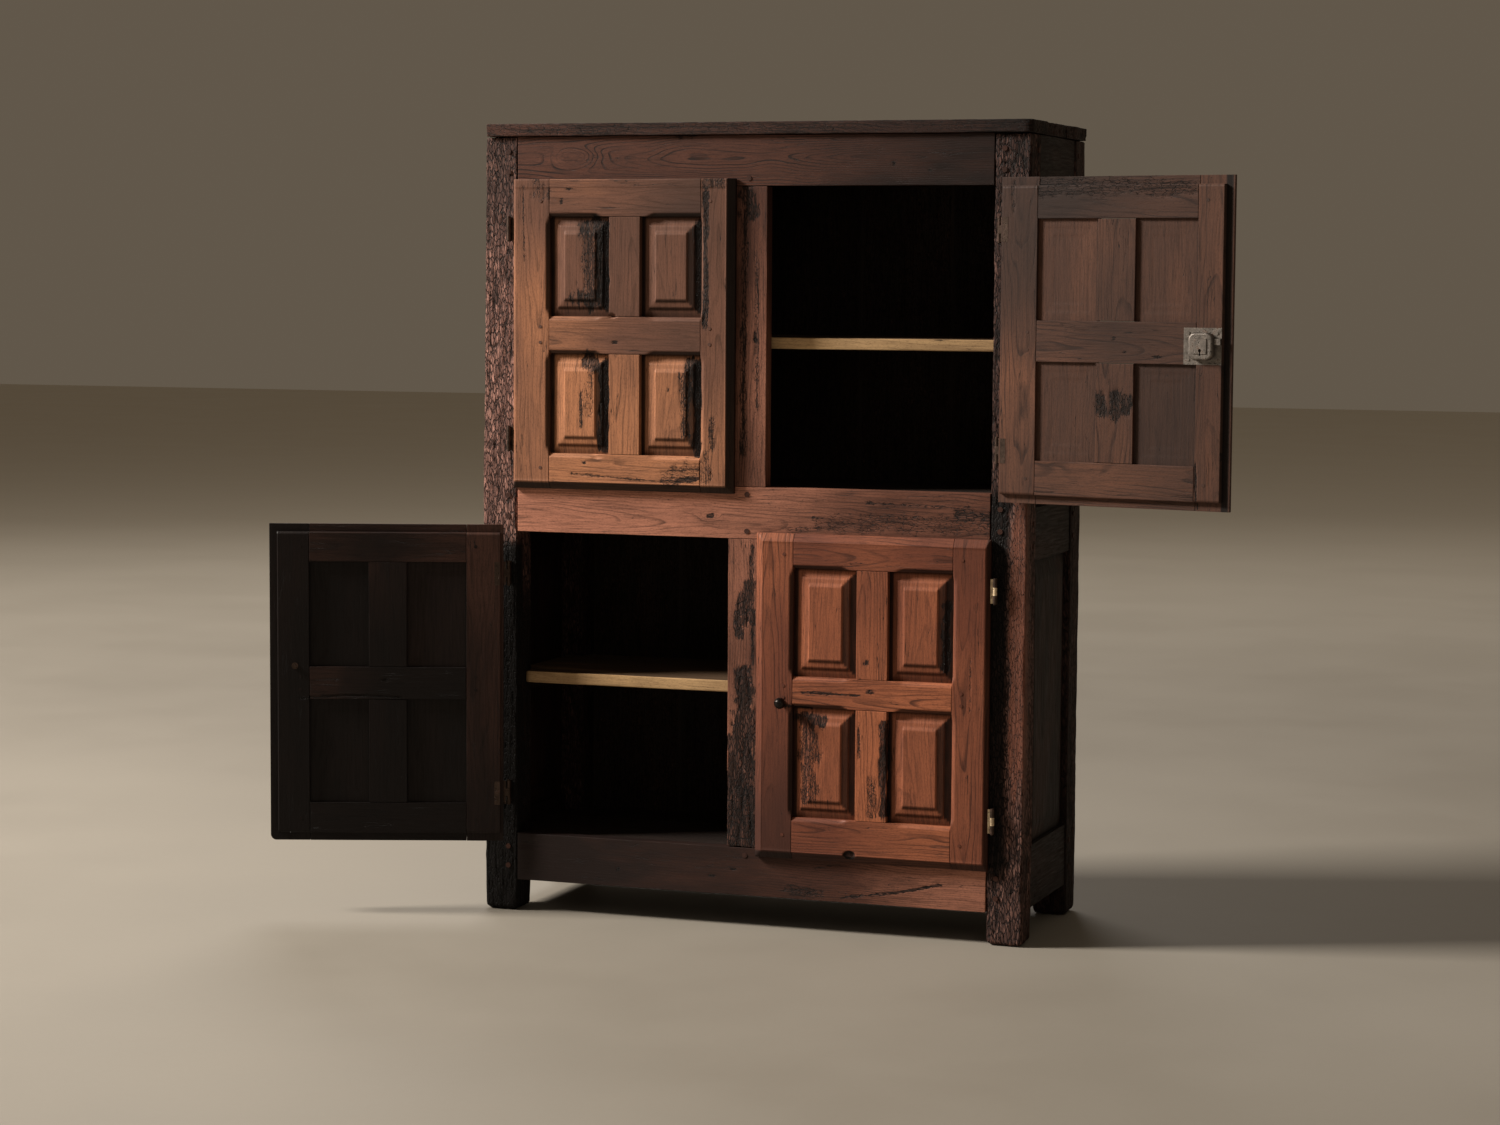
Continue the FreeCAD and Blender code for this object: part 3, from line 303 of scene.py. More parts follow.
def piece(name, boards, replaced, material, place=None):
    """Joins boards into one object that stands for CAD nodes and rides on their body."""
    starts = np.cumsum([0] + [len(b["points"]) for b in boards])
    points = np.concatenate([b["points"] for b in boards])
    if place:
        points = place(points)
    faces = np.concatenate([b["faces"] + s for b, s in zip(boards, starts)])
    if place and place.mirrored:
        faces = faces[:, ::-1]
    mesh = bpy.data.meshes.new(name)
    mesh.vertices.add(len(points))
    mesh.vertices.foreach_set("co", (points * MM).astype(np.float32).ravel())
    mesh.loops.add(faces.size)
    mesh.loops.foreach_set("vertex_index", faces.astype(np.int32).ravel())
    mesh.polygons.add(len(faces))
    mesh.polygons.foreach_set("loop_start", np.arange(0, faces.size, 4, dtype=np.int32))
    mesh.polygons.foreach_set("loop_total", np.full(len(faces), 4, np.int32))
    mesh.update(calc_edges=True)
    mesh.validate()
    mesh.polygons.foreach_set("use_smooth", np.ones(len(faces), bool))
    grain = mesh.attributes.new("grain", "FLOAT_VECTOR", "POINT")
    grain.data.foreach_set("vector", np.concatenate([b["grain"] for b in boards]).astype(np.float32).ravel())
    for key in ("weather", "cavity", "grime", "tone", "figure"):
        values = np.concatenate([b[key] for b in boards]).astype(np.float32)
        mesh.attributes.new(key, "FLOAT", "POINT").data.foreach_set("value", values)
    mesh.materials.append(material)
    made = bpy.data.objects.new(name, mesh)
    bpy.context.scene.collection.objects.link(made)
    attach(made, body_of_node[replaced[0]])
    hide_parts(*replaced)


def node_points(node):
    """A node's corners, in millimetres."""
    mesh = cad_nodes[node].data
    co = np.zeros(len(mesh.vertices) * 3, np.float32)
    mesh.vertices.foreach_get("co", co)
    return co.reshape(-1, 3).astype(float) / MM


def node_box(node):
    points = node_points(node)
    return points.min(0), points.max(0)


def solid_boxes(node):
    """The box of each separate solid of a node, from the lowest corner up."""
    points = node_points(node)
    mesh = cad_nodes[node].data
    _, same = np.unique(np.round(points, 2), axis=0, return_inverse=True)
    same = same.ravel()
    edges = np.zeros(len(mesh.edges) * 2, np.int32)
    mesh.edges.foreach_get("vertices", edges)
    ends = same[edges.reshape(-1, 2)]
    label = np.arange(same.max() + 1)
    while True:
        lowest = label.copy()
        np.minimum.at(lowest, ends[:, 0], label[ends[:, 1]])
        np.minimum.at(lowest, ends[:, 1], label[ends[:, 0]])
        lowest = lowest[lowest]
        if (lowest == label).all():
            break
        label = lowest
    group = label[same]
    boxes = [(points[group == g].min(0), points[group == g].max(0)) for g in np.unique(group)]
    return sorted(boxes, key=lambda b: tuple(np.round(b[0]) + 0.0))


# Materials

class Nodes:
    """A material's node tree, with short calls for the nodes that the finishes share."""

    def __init__(self, name):
        self.material = bpy.data.materials.new(name)
        self.material.use_nodes = True
        self.tree = self.material.node_tree
        self.tree.nodes.clear()

    def add(self, kind, sockets=None, **settings):
        node = self.tree.nodes.new(kind)
        for key, value in settings.items():
            setattr(node, key, value)
        for key, value in (sockets or {}).items():
            if isinstance(value, bpy.types.NodeSocket):
                self.tree.links.new(value, node.inputs[key])
            else:
                node.inputs[key].default_value = value
        return node

    def attribute(self, name, output="Fac"):
        return self.add("ShaderNodeAttribute", attribute_name=name).outputs[output]

    def place(self):
        return self.add("ShaderNodeTexCoord").outputs["Object"]

    def math(self, operation, a, b=0.0, clamp=False):
        return self.add("ShaderNodeMath", {0: a, 1: b}, operation=operation, use_clamp=clamp).outputs[0]

    def plus(self, a, b, clamp=False):
        return self.math("ADD", a, b, clamp)

    def minus(self, a, b, clamp=False):
        return self.math("SUBTRACT", a, b, clamp)

    def times(self, a, b, clamp=False):
        return self.math("MULTIPLY", a, b, clamp)

    def weighted(self, *terms):
        """The sum of values, each times its weight."""
        total = 0.0
        for value, weight in terms:
            total = self.plus(total, self.times(value, weight))
        return total

    def swing(self, value, strength):
        """A noise's deviation from its middle, with a strength."""
        return self.times(self.minus(value, 0.5), strength)

    def vector(self, operation, a, b=(0, 0, 0)):
        node = self.add("ShaderNodeVectorMath", {0: a, 1: b}, operation=operation)
        return node.outputs["Value" if operation == "LENGTH" else "Vector"]

    def noise(self, vector, scale=1.0, detail=2.0, roughness=0.5, output="Fac"):
        sockets = {"Vector": vector, "Scale": scale, "Detail": detail, "Roughness": roughness}
        return self.add("ShaderNodeTexNoise", sockets).outputs[output]

    def streaks(self, vector, along, across, **settings):
        """Noise with so many cells per metre along the grain, and across it."""
        return self.noise(self.vector("MULTIPLY", vector, (along, across, across)), **settings)

    def range(self, value, low, high, to_low=0.0, to_high=1.0, smooth=True):
        sockets = {"Value": value, "From Min": low, "From Max": high, "To Min": to_low, "To Max": to_high}
        kind = "SMOOTHSTEP" if smooth else "LINEAR"
        return self.add("ShaderNodeMapRange", sockets, interpolation_type=kind, clamp=True).outputs[0]

    def mix(self, share, a, b):
        a, b = (x if isinstance(x, bpy.types.NodeSocket) else (*x, 1.0) for x in (a, b))
        return self.add("ShaderNodeMix", {0: share, 6: a, 7: b}, data_type="RGBA").outputs[2]

    def ramp(self, share, *stops):
        node = self.add("ShaderNodeValToRGB", {"Fac": share})
        for i, (at, colour) in enumerate(stops):
            stop = node.color_ramp.elements[i] if i < 2 else node.color_ramp.elements.new(at)
            stop.position, stop.color = at, (*colour, 1.0)
        return node.outputs["Color"]

    def finish(self, colour, roughness, height, depth, **sockets):
        """Ends the material with a rough surface whose bumps are depth millimetres high."""
        bump = self.add("ShaderNodeBump", {"Height": height, "Strength": 1.0, "Distance": depth * MM})
        values = {"Base Color": colour, "Roughness": roughness, "Normal": bump.outputs[0]}
        values.update({key.replace("_", " "): value for key, value in sockets.items()})
        shader = self.add("ShaderNodeBsdfPrincipled", values)
        self.add("ShaderNodeOutputMaterial", {"Surface": shader.outputs[0]})
        return self.material


@dataclass
class Oak:
    """Colours and strengths of one oak finish; skin is cells of cracked skin per metre."""
    deep: tuple
    mid: tuple
    pale: tuple
    streak: tuple
    ridge: tuple = (0.12, 0.058, 0.040)
    weathered: tuple = ((0.006, 0.004, 0.0035), (0.016, 0.0095, 0.0075))
    ring_share: float = 0.8
    fibre_share: float = 0.40
    pore_share: float = 0.62
    roughness: tuple = (0.45, 0.75)
    bump: float = 0.5
    skin: tuple = (62.0, 230.0, 230.0)
    worn_share: float = 0.9


# Near-black for dirt in cracks and grooves, also used for painted shade; and the colour of pits in iron.
crack_dirt_and_shade_black, pit_colour = (0.005, 0.0035, 0.003), (0.012, 0.008, 0.006)
wood_shine = 0.2
ring_gap = 4.6


def growth_rings(n, grain, bent):
    """Thin dark lines where the growth rings reach the surface, stronger in some places than in others."""
    radius = n.vector("LENGTH", n.vector("MULTIPLY", bent, (0.0, 1.0, 1.0)))
    ring = n.math("FRACT", n.times(radius, 1 / (ring_gap * MM)))
    line = n.times(n.range(ring, 0.62, 0.92), n.range(ring, 1.0, 0.94))
    strength = n.streaks(grain, 7.0, 34.0)
    return n.times(line, n.range(strength, 0.32, 0.66, 0.15, 1.0))


def cracked_skin(n, bent, weather, cells_per_metre):
    """Old bare wood: small raised cells with cracks between them. Gives the cracks and the crests."""
    skewed = n.vector("MULTIPLY", bent, cells_per_metre)
    shake = n.noise(skewed, output="Color")
    skewed = n.vector("ADD", skewed, n.vector("MULTIPLY", shake, (1.4, 1.1, 1.1)))
    cells = n.add("ShaderNodeTexVoronoi", {"Vector": skewed, "Scale": 1.0}, feature="DISTANCE_TO_EDGE")
    edge = cells.outputs["Distance"]
    width = n.plus(n.times(weather, 0.15), 0.002)
    crack = n.minus(1.0, n.math("DIVIDE", edge, width), clamp=True)
    patch = n.streaks(bent, 22.0, 75.0, detail=3.0, roughness=0.65)
    crest = n.times(n.range(edge, 0.0, 0.3), n.range(patch, 0.40, 0.66))
    return n.times(crack, n.range(weather, 0.02, 0.3)), crest


def oak(name, look):
    """Aged oak: growth rings, fibres, pores, slow colour changes, dirt in hollows, painted shade and weathered
    skin.
    """
    n = Nodes(name)
    grain = n.attribute("grain", "Vector")
    weather, cavity, grime, tone, figure = map(n.attribute, ("weather", "cavity", "grime", "tone", "figure"))
    wander = n.streaks(grain, 4.0, 16.0, output="Color")
    shift = n.vector("MULTIPLY", n.vector("SUBTRACT", wander, (0.5, 0.5, 0.5)), (0.0, 0.020, 0.020))
    bent = n.vector("ADD", grain, shift)
    ring_line = n.times(growth_rings(n, grain, bent), figure)
    fibre = n.streaks(bent, 7.0, 240.0, detail=4.0, roughness=0.65)
    fine = n.streaks(bent, 32.0, 900.0)
    speckle = n.streaks(bent, 210.0, 560.0, detail=3.0, roughness=0.7)
    pore_noise = n.streaks(bent, 45.0, 1100.0, detail=1.0)
    pore = n.times(n.range(pore_noise, 0.60, 0.69), n.plus(ring_line, 0.30), clamp=True)
    check_noise = n.streaks(bent, 5.0, 120.0)
    check_place = n.streaks(grain, 9.0, 45.0, detail=1.0)
    check = n.range(n.math("ABSOLUTE", n.minus(check_noise, 0.5)), 0.009, 0.003)
    check = n.times(check, n.range(check_place, 0.56, 0.66))

    # Sound wood, from its tone to the streaks of rings, fibres and pores
    patch = n.streaks(grain, 4.0, 13.0, detail=3.0, roughness=0.6)
    level = n.plus(tone, n.swing(patch, 0.55), clamp=True)
    colour = n.ramp(level, (0.0, look.deep), (0.5, look.mid), (1.0, look.pale))
    for share in (n.times(ring_line, look.ring_share), n.range(fibre, 0.42, 0.68, 0.0, look.fibre_share),
                  n.range(fine, 0.48, 0.72, 0.0, 0.25), n.range(speckle, 0.50, 0.68, 0.0, 0.42),
                  n.times(pore, look.pore_share)):
        colour = n.mix(share, colour, look.streak)
    colour = n.mix(n.times(check, 0.85), colour, crack_dirt_and_shade_black)

    # Weathered wood, with lit crests where it is pale
    crack, crest = cracked_skin(n, bent, weather, look.skin)
    broken = n.plus(n.plus(weather, n.swing(speckle, 1.3)), n.swing(fibre, 1.5))
    worn = n.range(broken, 0.30, 0.62, 0.0, look.worn_share)
    colour = n.mix(worn, colour, n.mix(n.range(tone, 0.0, 1.0, smooth=False), *look.weathered))
    lit = n.times(n.times(worn, crest), n.range(speckle, 0.36, 0.56, 0.2, 1.0))
    colour = n.mix(n.times(lit, n.range(tone, 0.0, 0.8, 0.03, 1.0)), colour, look.ridge)
    # Dark dirt in the cracks and weathered grooves, and painted shade where the shade share is set.
    for share in (n.times(crack, 0.85), n.range(cavity, 0.25, 0.75, 0.0, 0.85), n.times(grime, 0.97)):
        colour = n.mix(share, colour, crack_dirt_and_shade_black)

    rough = n.range(fibre, 0.3, 0.7, *look.roughness, smooth=False)
    rough = n.plus(rough, n.times(weather, 0.15), clamp=True)
    height = n.weighted((fibre, 0.45), (fine, 0.20), (speckle, 0.30), (ring_line, -0.20), (pore, -0.30),
                        (check, -0.8), (crack, -2.2))
    return n.finish(colour, rough, height, look.bump, Specular_IOR_Level=wood_shine)


def iron(name, colour, rust, spots, roughness, bright=0.0):
    """Old iron: mottled, pitted, with rust in patches."""
    n = Nodes(name)
    place = n.place()
    broad = n.noise(place, scale=70.0, detail=4.0, roughness=0.65)
    fine = n.noise(place, scale=420.0, detail=3.0, roughness=0.6)
    pits = n.range(n.noise(place, scale=260.0), 0.60, 0.72)
    dark, light = (tuple(min(1.0, c * factor) for c in colour) for factor in (0.55, 1.5 + bright))
    base = n.ramp(broad, (0.3, dark), (0.55, colour), (0.75, light))
    rusty = n.range(n.plus(broad, n.times(fine, 0.35)), 0.80 - spots, 0.92 - spots)
    shown = n.mix(n.times(pits, 0.7), n.mix(rusty, base, rust), pit_colour)
    rough = n.range(fine, 0.3, 0.7, roughness - 0.12, roughness + 0.12)
    rough = n.plus(rough, n.times(rusty, 0.2), clamp=True)
    metal = n.minus(0.85, n.times(rusty, 0.75), clamp=True)
    return n.finish(shown, rough, n.weighted((fine, 0.5), (pits, -0.8)), 0.6, Metallic=metal)


def peg_wood(name, wood):
    """Pegs of riven oak, with darker end grain."""
    n = Nodes(name)
    place = n.place()
    cells = n.noise(place, scale=900.0, detail=3.0, roughness=0.7)
    patch = n.noise(place, scale=9.0)
    between = tuple(mixed(a, b, 0.4) for a, b in zip(wood.deep, wood.mid))
    colour = n.ramp(n.weighted((cells, 0.6), (patch, 0.4)), (0.3, wood.deep), (0.5, between), (0.7, wood.mid))
    rough = n.range(cells, 0.3, 0.7, 0.5, 0.8)
    return n.finish(colour, rough, cells, 0.5, Specular_IOR_Level=wood_shine)


woods = {
    "frame": Oak(deep=(0.0135, 0.0072, 0.0060), mid=(0.110, 0.043, 0.028), pale=(0.56, 0.235, 0.150),
                 streak=(0.016, 0.008, 0.0065), ridge=(0.19, 0.085, 0.062)),
    "post": Oak(deep=(0.012, 0.006, 0.005), mid=(0.12, 0.050, 0.034), pale=(0.30, 0.115, 0.075),
                streak=(0.022, 0.011, 0.008), weathered=((0.005, 0.003, 0.0028), (0.135, 0.070, 0.058)),
                ridge=(0.40, 0.21, 0.168), bump=1.3, skin=(52.0, 200.0, 200.0), worn_share=0.95),
    # Near-black oak for the inside of the carcass: painted shade of the interior.
    "inner": Oak(deep=(0.010, 0.007, 0.006), mid=(0.028, 0.017, 0.013), pale=(0.065, 0.040, 0.028),
                 streak=(0.008, 0.005, 0.004), bump=0.8, roughness=(0.6, 0.85)),
    "shelf": Oak(deep=(0.018, 0.012, 0.009), mid=(0.08, 0.048, 0.028), pale=(0.62, 0.40, 0.20),
                 streak=(0.10, 0.055, 0.026), roughness=(0.6, 0.85), ring_share=0.35, fibre_share=0.25,
                 pore_share=0.35),
    "upper_left": Oak(deep=(0.070, 0.039, 0.031), mid=(0.193, 0.087, 0.056), pale=(0.52, 0.220, 0.108),
                      streak=(0.055, 0.025, 0.015), ridge=(0.17, 0.075, 0.045)),
    "upper_right": Oak(deep=(0.034, 0.020, 0.016), mid=(0.090, 0.042, 0.028), pale=(0.21, 0.088, 0.050),
                       streak=(0.020, 0.011, 0.009), ridge=(0.09, 0.042, 0.028)),
    # The open lower left door's oak is darkened well below its real colour: painted shade, as its inner face turns
    # away from the key light.
    "lower_left": Oak(deep=(0.0055, 0.0030, 0.0026), mid=(0.016, 0.0080, 0.0064), pale=(0.084, 0.037, 0.026),
                      streak=(0.004, 0.0025, 0.002), ridge=(0.03, 0.016, 0.012)),
    "lower_right": Oak(deep=(0.070, 0.026, 0.018), mid=(0.200, 0.063, 0.035), pale=(0.48, 0.160, 0.075),
                       streak=(0.055, 0.019, 0.012), ridge=(0.17, 0.058, 0.036)),
}
woods["left_post"] = replace(
    woods["post"], mid=(0.18, 0.075, 0.051), pale=(0.45, 0.172, 0.112),
    weathered=((0.005, 0.003, 0.0028), (0.20, 0.105, 0.087)), ridge=(0.60, 0.315, 0.25))

oaks = {name: oak(f"{name}_oak", wood) for name, wood in woods.items()}
pegs = {name: peg_wood(f"{name}_pegs", woods[name])
        for name in ("frame", "upper_left", "upper_right", "lower_left", "lower_right")}
wrought_iron = iron("wrought_iron", (0.075, 0.050, 0.038), (0.060, 0.026, 0.015), 0.10, 0.55, bright=0.3)
dark_iron = iron("dark_iron", (0.022, 0.018, 0.016), (0.030, 0.013, 0.008), 0.02, 0.30)
# Very pale iron for the lower right door's hinges: painted highlight, for the bright glint on their barrels.
worn_iron = iron("worn_iron", (0.90, 0.70, 0.47), (0.36, 0.21, 0.11), 0.02, 0.55, bright=0.1)
lock_iron = iron("lock_iron", (0.21, 0.185, 0.165), (0.095, 0.048, 0.026), 0.05, 0.50, bright=0.3)

# Carcass

left_post, right_post = node_box("front_left_post"), node_box("front_right_post")
rear_post = node_box("rear_left_post")
opening_left, opening_right = left_post[1][0], right_post[0][0]
side_front, side_rear = left_post[1][1], rear_post[0][1]
carcass_width, carcass_back = right_post[1][0], rear_post[1][1]


def make_boards(node, first_seed, make, material=oaks["frame"]):
    """Makes one board for each solid of a node, from the solid's box and a seed of its own."""
    boards = [make(low, high, seed) for seed, (low, high) in enumerate(solid_boxes(node), first_seed)]
    piece(f"{node}_oak", boards, [node], material)


def plain_board(along, look, ends=None, bend=None):
    """A maker of boards that fill their solid's box, or lie between two ends along the grain."""
    def make(low, high, seed):
        if ends:
            low[along], high[along] = ends
        return board(low, high, along, look, seed, bend=bend)
    return make


def marked(marks, seed, base=0.0):
    """Weathered only near short lines (x0, z0, x1, z1, reach, strength), with ragged borders."""
    def at(p):
        x, _, z = p.T
        out = np.full(len(p), base)
        ragged = noise(p, (14, 14, 34), seed) * 0.45 + noise(p, (4.5, 4.5, 12), seed + 1) * 0.35
        for x0, z0, x1, z1, reach, strength in marks:
            run = np.array([x1 - x0, z1 - z0])
            share = np.clip(((x - x0) * run[0] + (z - z0) * run[1]) / max(run @ run, 1e-6), 0, 1)
            away = np.hypot(x - x0 - share * run[0], z - z0 - share * run[1]) / reach
            out = np.maximum(out, strength * fall(away + ragged, 0.6, 1.1))
        return out
    return at


# Posts

left_face_stations = ((0, 0), (150, 1.5), (500, -1), (845, -4.5), (1000, -4), (1100, -2), (1315, 0),
                      (1530, 1.5), (1660, 3))
left_shadow_head, lower_door_head = (780, 830), (900, 960)
right_post_middle, bare_line = (opening_right + 30, opening_right + 48), opening_right + 42
foot_wear, foot_wear_height = 7.0, 22.0


def worn_foot(p):
    """Posts lose their corners near the floor."""
    return foot_wear * np.exp(-p[:, 2] / foot_wear_height)


def crooked_left(p):
    """The left post bows outwards at mid height and thins towards its head."""
    x, _, z = p.T
    return moved(p, 0, x + between_stations(z, left_face_stations) * (1 - x / opening_left))


def post_weather(seed, low=0.55):
    return lambda p: low + (1 - low) * noise_share(p, (60, 60, 420), seed) + 0.15


def right_post_weather(p):
    """The right half of the right post is bare, reddish wood beside its lower door."""
    x, y, z = p.T
    line = bare_line + 7 * noise(p, (400, 400, 70), 71) + 4 * noise(p, (400, 400, 18), 72)
    bare = rise(x, line - 4, line + 4) * rise(z, 180, 420)
    bare = bare * fall(z, *lower_door_head) * (1 - 0.7 * rise(y, 8, 50))
    return np.clip(0.95 - 0.68 * bare, 0, 1)


def left_post_tone(p):
    """Painted shadow of the open lower door: black on the front face below its head. Darker round the side."""
    _, y, z = p.T
    return -0.95 * fall(y, 4, 40) * fall(z, *left_shadow_head) - 0.55 * rise(y, 6, 30)


# Painted shadow of the open lower door, darkening the front face below about 800 mm.
def left_post_door_shadow(p):
    return 0.97 * fall(p[:, 1], 2, 25) * fall(p[:, 2], 770, 815)


def right_post_tone(p):
    """Black beside the door, reddish on the outer half of the front face."""
    x, y, z = p.T
    reddish = 0.35 * (rise(x, *right_post_middle) * rise(z, 150, 330)) * fall(z, *lower_door_head)
    black = 0.55 * (fall(z, *lower_door_head) * rise(z, 120, 180)) * fall(x, *right_post_middle)
    return reddish * (1 - 0.8 * rise(y, 8, 50)) - black


post_look = Look(undulation=0.8, extra_radius=worn_foot, figure=0.4, edge_wear=2.0)
front_post_look = replace(post_look, edge=2.2, groove=2.6, groove_size=7.5, tilt=0.02, grid=fine_grid)
rear_post_look = replace(post_look, edge=2.5, groove=2.4, weathered_edge=5.0, tones=(0.2,),
                         grid=rear_post_grid)
posts = {
    "front_left_post": (oaks["left_post"], crooked_left, replace(
        front_post_look, tones=(0.6, 0.6, 0.6, 1.0, 1.0, 0.9, 0.3), weather=post_weather(11),
        pith=(9, 14), tone_at=left_post_tone, grime=left_post_door_shadow, weathered_edge=6.5)),
    "front_right_post": (oaks["post"], None, replace(
        front_post_look, tones=(0.5, 0.6, 0.6, 0.5, 0.3, 0.3, 0.3), weather=right_post_weather,
        pith=(-12, 20), tone_at=right_post_tone, weathered_edge=5.5)),
    "rear_left_post": (oaks["post"], None, replace(rear_post_look, weather=post_weather(103, 0.35))),
    "rear_right_post": (oaks["post"], None, replace(rear_post_look, weather=post_weather(104, 0.35))),
}


def make_posts():
    for seed, (node, (material, bend, look)) in enumerate(posts.items(), 101):
        make_boards(node, seed, plain_board(2, look, bend=bend), material=material)


# Front rails and muntins

front_rail_looks = {
    "front_top_rail": Look(
        tones=(0.5, 0.4, 0.4, 0.2, 0.0), pith=(6, 34), tilt=-0.05, figure=1.5,
        knots=((-392, 8, 22, 30), (-150, 30, 30, -12), (60, -20, 26, 10)),
        weather=marked(((444, 1661, 470, 1661, 10, 0.45), (909, 1600, 912, 1602, 3, 0.9),
                        (987, 1586, 990, 1588, 3, 0.9)), 81)),
    "front_middle_rail": Look(
        tones=(1.0, 1.0, 0.9, 0.6, 0.6), pith=(-22, 60), tilt=0.035, knots=((-84, -8, 8, 14),),
        weather=marked(((516, 868, 517, 868, 5, 0.95), (741, 864, 742, 872, 3, 0.9),
                        (690, 845, 760, 848, 4, 0.5), (1060, 890, 1120, 880, 16, 0.6),
                        (860, 905, 1040, 900, 3, 0.6), (800, 880, 1000, 876, 3, 0.5),
                        (760, 860, 1130, 868, 22, 0.3)), 83)),
    "front_bottom_rail": Look(
        tones=(0.0, 0.0, 0.1, 0.4, 0.8), pith=(40, 40), tilt=-0.05,
        weather=marked(((309, 106, 312, 106, 4, 0.8), (518, 105, 530, 105, 3.5, 0.9),
                        (570, 123, 575, 123, 3.5, 0.9), (809, 78, 930, 96, 3, 0.8),
                        (930, 96, 1026, 119, 3, 0.8), (700, 90, 760, 84, 12, 0.5)), 85)),
}
lower_muntin_marks = (
    (597, 715, 594, 650, 21, 0.95), (584, 650, 582, 622, 14, 0.9), (590, 530, 590, 440, 27, 0.95),
    (598, 440, 596, 320, 38, 0.95), (585, 330, 592, 170, 60, 0.95), (563, 400, 561, 260, 12, 0.8),
    (608, 810, 612, 560, 5, 0.7))
upper_muntin_marks = (
    (596, 1540, 600, 1505, 22, 0.6), (590, 1500, 588, 1000, 8, 0.5), (612, 1250, 612, 1236, 5, 0.9),
    (616, 1420, 618, 1100, 5, 0.45))


def rail_between_posts(look):
    return plain_board(0, look, (opening_left, opening_right))


def make_front_rails():
    for seed, (node, look) in enumerate(front_rail_looks.items(), 111):
        make_boards(node, seed, rail_between_posts(look))


def make_muntins():
    low, high = node_box("front_muntins")
    rails = [node_box(f"front_{level}_rail") for level in ("bottom", "middle", "top")]
    boards = []
    for seed, below, above, marks, tones in (
            (121, rails[0], rails[1], lower_muntin_marks, (0.5, 0.8, 0.6, 0.8)),
            (123, rails[1], rails[2], upper_muntin_marks, (0.7, 0.7, 0.6, 0.5))):
        low[2], high[2] = below[1][2], above[0][2]
        look = Look(tones=tones, pith=(14, 30), tilt=0.02, weather=marked(marks, seed, 0.12), grid=fine_grid)
        boards.append(board(low, high, 2, look, seed))
    piece("front_muntins_oak", boards, ["front_muntins"], oaks["frame"])


# Sides and back

tongue_cover = 5.0
side_tongue = 8.0
side_bevel = 38.0
# The side rails and side panels have a very dark tone: painted shade of the sides that the light misses.
side_rail_look = Look(tones=(0.0,), weather=full(0.2), grid=side_rail_grid, pith=(20, 40))
rear_rail_look = Look(tones=(0.35,), weather=full(0.2), grid=inner_grid)
back_board_growth = 1.4
back_board_tuck = 3.0
first_back_seed, last_back_seed = 161, 165


def side_panel(low, high, seed):
    """A panel with a bevelled margin on its outer face."""
    low, high = low + (0, tongue_cover, tongue_cover), high - (0, tongue_cover, tongue_cover)
    outer, inner = (low[0], high[0]) if low[0] < carcass_width / 2 else (high[0], low[0])
    edge = inner + (outer - inner) * side_tongue / abs(outer - inner)
    bevel = side_bevel + tongue_cover / 2

    def bend(p):
        face = mixed(edge, outer, np.clip(margin(p, (1, 2), low, high) / bevel, 0, 1))
        share = (p[:, 0] - inner) / (outer - inner)
        return moved(p, 0, inner + share * (face - inner))

    # Painted shade along the frame and at the line where the bevel meets the field.
    def grime(p):
        away = margin(p, (1, 2), low, high)
        return np.maximum(0.8 * fall(away, 4, 12), 0.55 * bump_at(away, bevel, 3.5))

    marks = ((), (low[1] + bevel, high[1] - bevel), (low[2] + bevel, high[2] - bevel))
    # The dark tone here is painted shade, as on the side rails.
    look = Look(tones=(0.06,), weather=full(0.1), grime=grime, grid=side_panel_grid, pith=(40, 60), tilt=0.06)
    return board(low, high, 2, look, seed, marks, bend)


def back_tone(p):
    """Lighter on the outer face; the inner face keeps the dark of the painted interior shade."""
    return 0.45 * rise(p[:, 1], carcass_back - 9, carcass_back - 3)


def back_board(low, high, seed):
    """A board of the back; the outermost edges reach into the rear posts and let no light in."""
    low[0] -= back_board_tuck if seed == first_back_seed else back_board_growth
    high[0] += back_board_tuck if seed == last_back_seed else back_board_growth

    def weather(p):
        return 0.35 * rise(margin(p, (0,), low, high), 1, 9)

    look = Look(tones=(0.3 + 0.08 * (seed % 3),), weather=weather, grid=coarse_grid, tone_at=back_tone,
                undulation=0.15, pith=(30 * (-1) ** seed, 40), tilt=0.04, edge=0.3, edge_wear=0.3)
    return board(low, high, 2, look, seed)


# Top

rag_reach = 45.0
left_end_draw = 9.0
first_top_seed = 171
right_end_draws = (7.0, 9.0, 8.0)
front_corner_radius = 20.0


def top_board(low, high, seed):
    """A board drawn in unevenly at both ends; the front one has a rounded right corner."""
    def weather(p):
        return 0.42 + 0.3 * noise(p, (240, 45, 45), seed)

    def bend(p):
        x, flat = p[:, 0], p * (0, 1, 1)
        left_drawn = left_end_draw + 2.5 * noise_share(flat, (1, 30, 9), seed + 2)
        broken, slow = noise_share(flat, (1, 9, 7), seed), noise_share(flat, (1, 45, 60), seed + 1)
        right_drawn = right_end_draws[seed - first_top_seed] * (0.35 * broken + 0.65 * slow)
        out = moved(p, 0, x + left_drawn * fall(x, low[0], low[0] + rag_reach)
                    - right_drawn * rise(x, high[0] - rag_reach, high[0]))
        if seed == first_top_seed:
            out = corner_rounded(out, (0, 1), (high[0], low[1]), (1, -1), front_corner_radius)
        return out

    look = Look(edge=1.8, edge_wear=1.5, weathered_edge=3.6, undulation=0.7, groove=2.0, groove_size=6.0,
                weather=weather, tones=(0.3, 0.3, 0.2), figure=1.2, pith=(30, 45), tilt=0.03)
    return board(low, high, 0, look, seed, bend=bend)


# Shelves, floors and battens

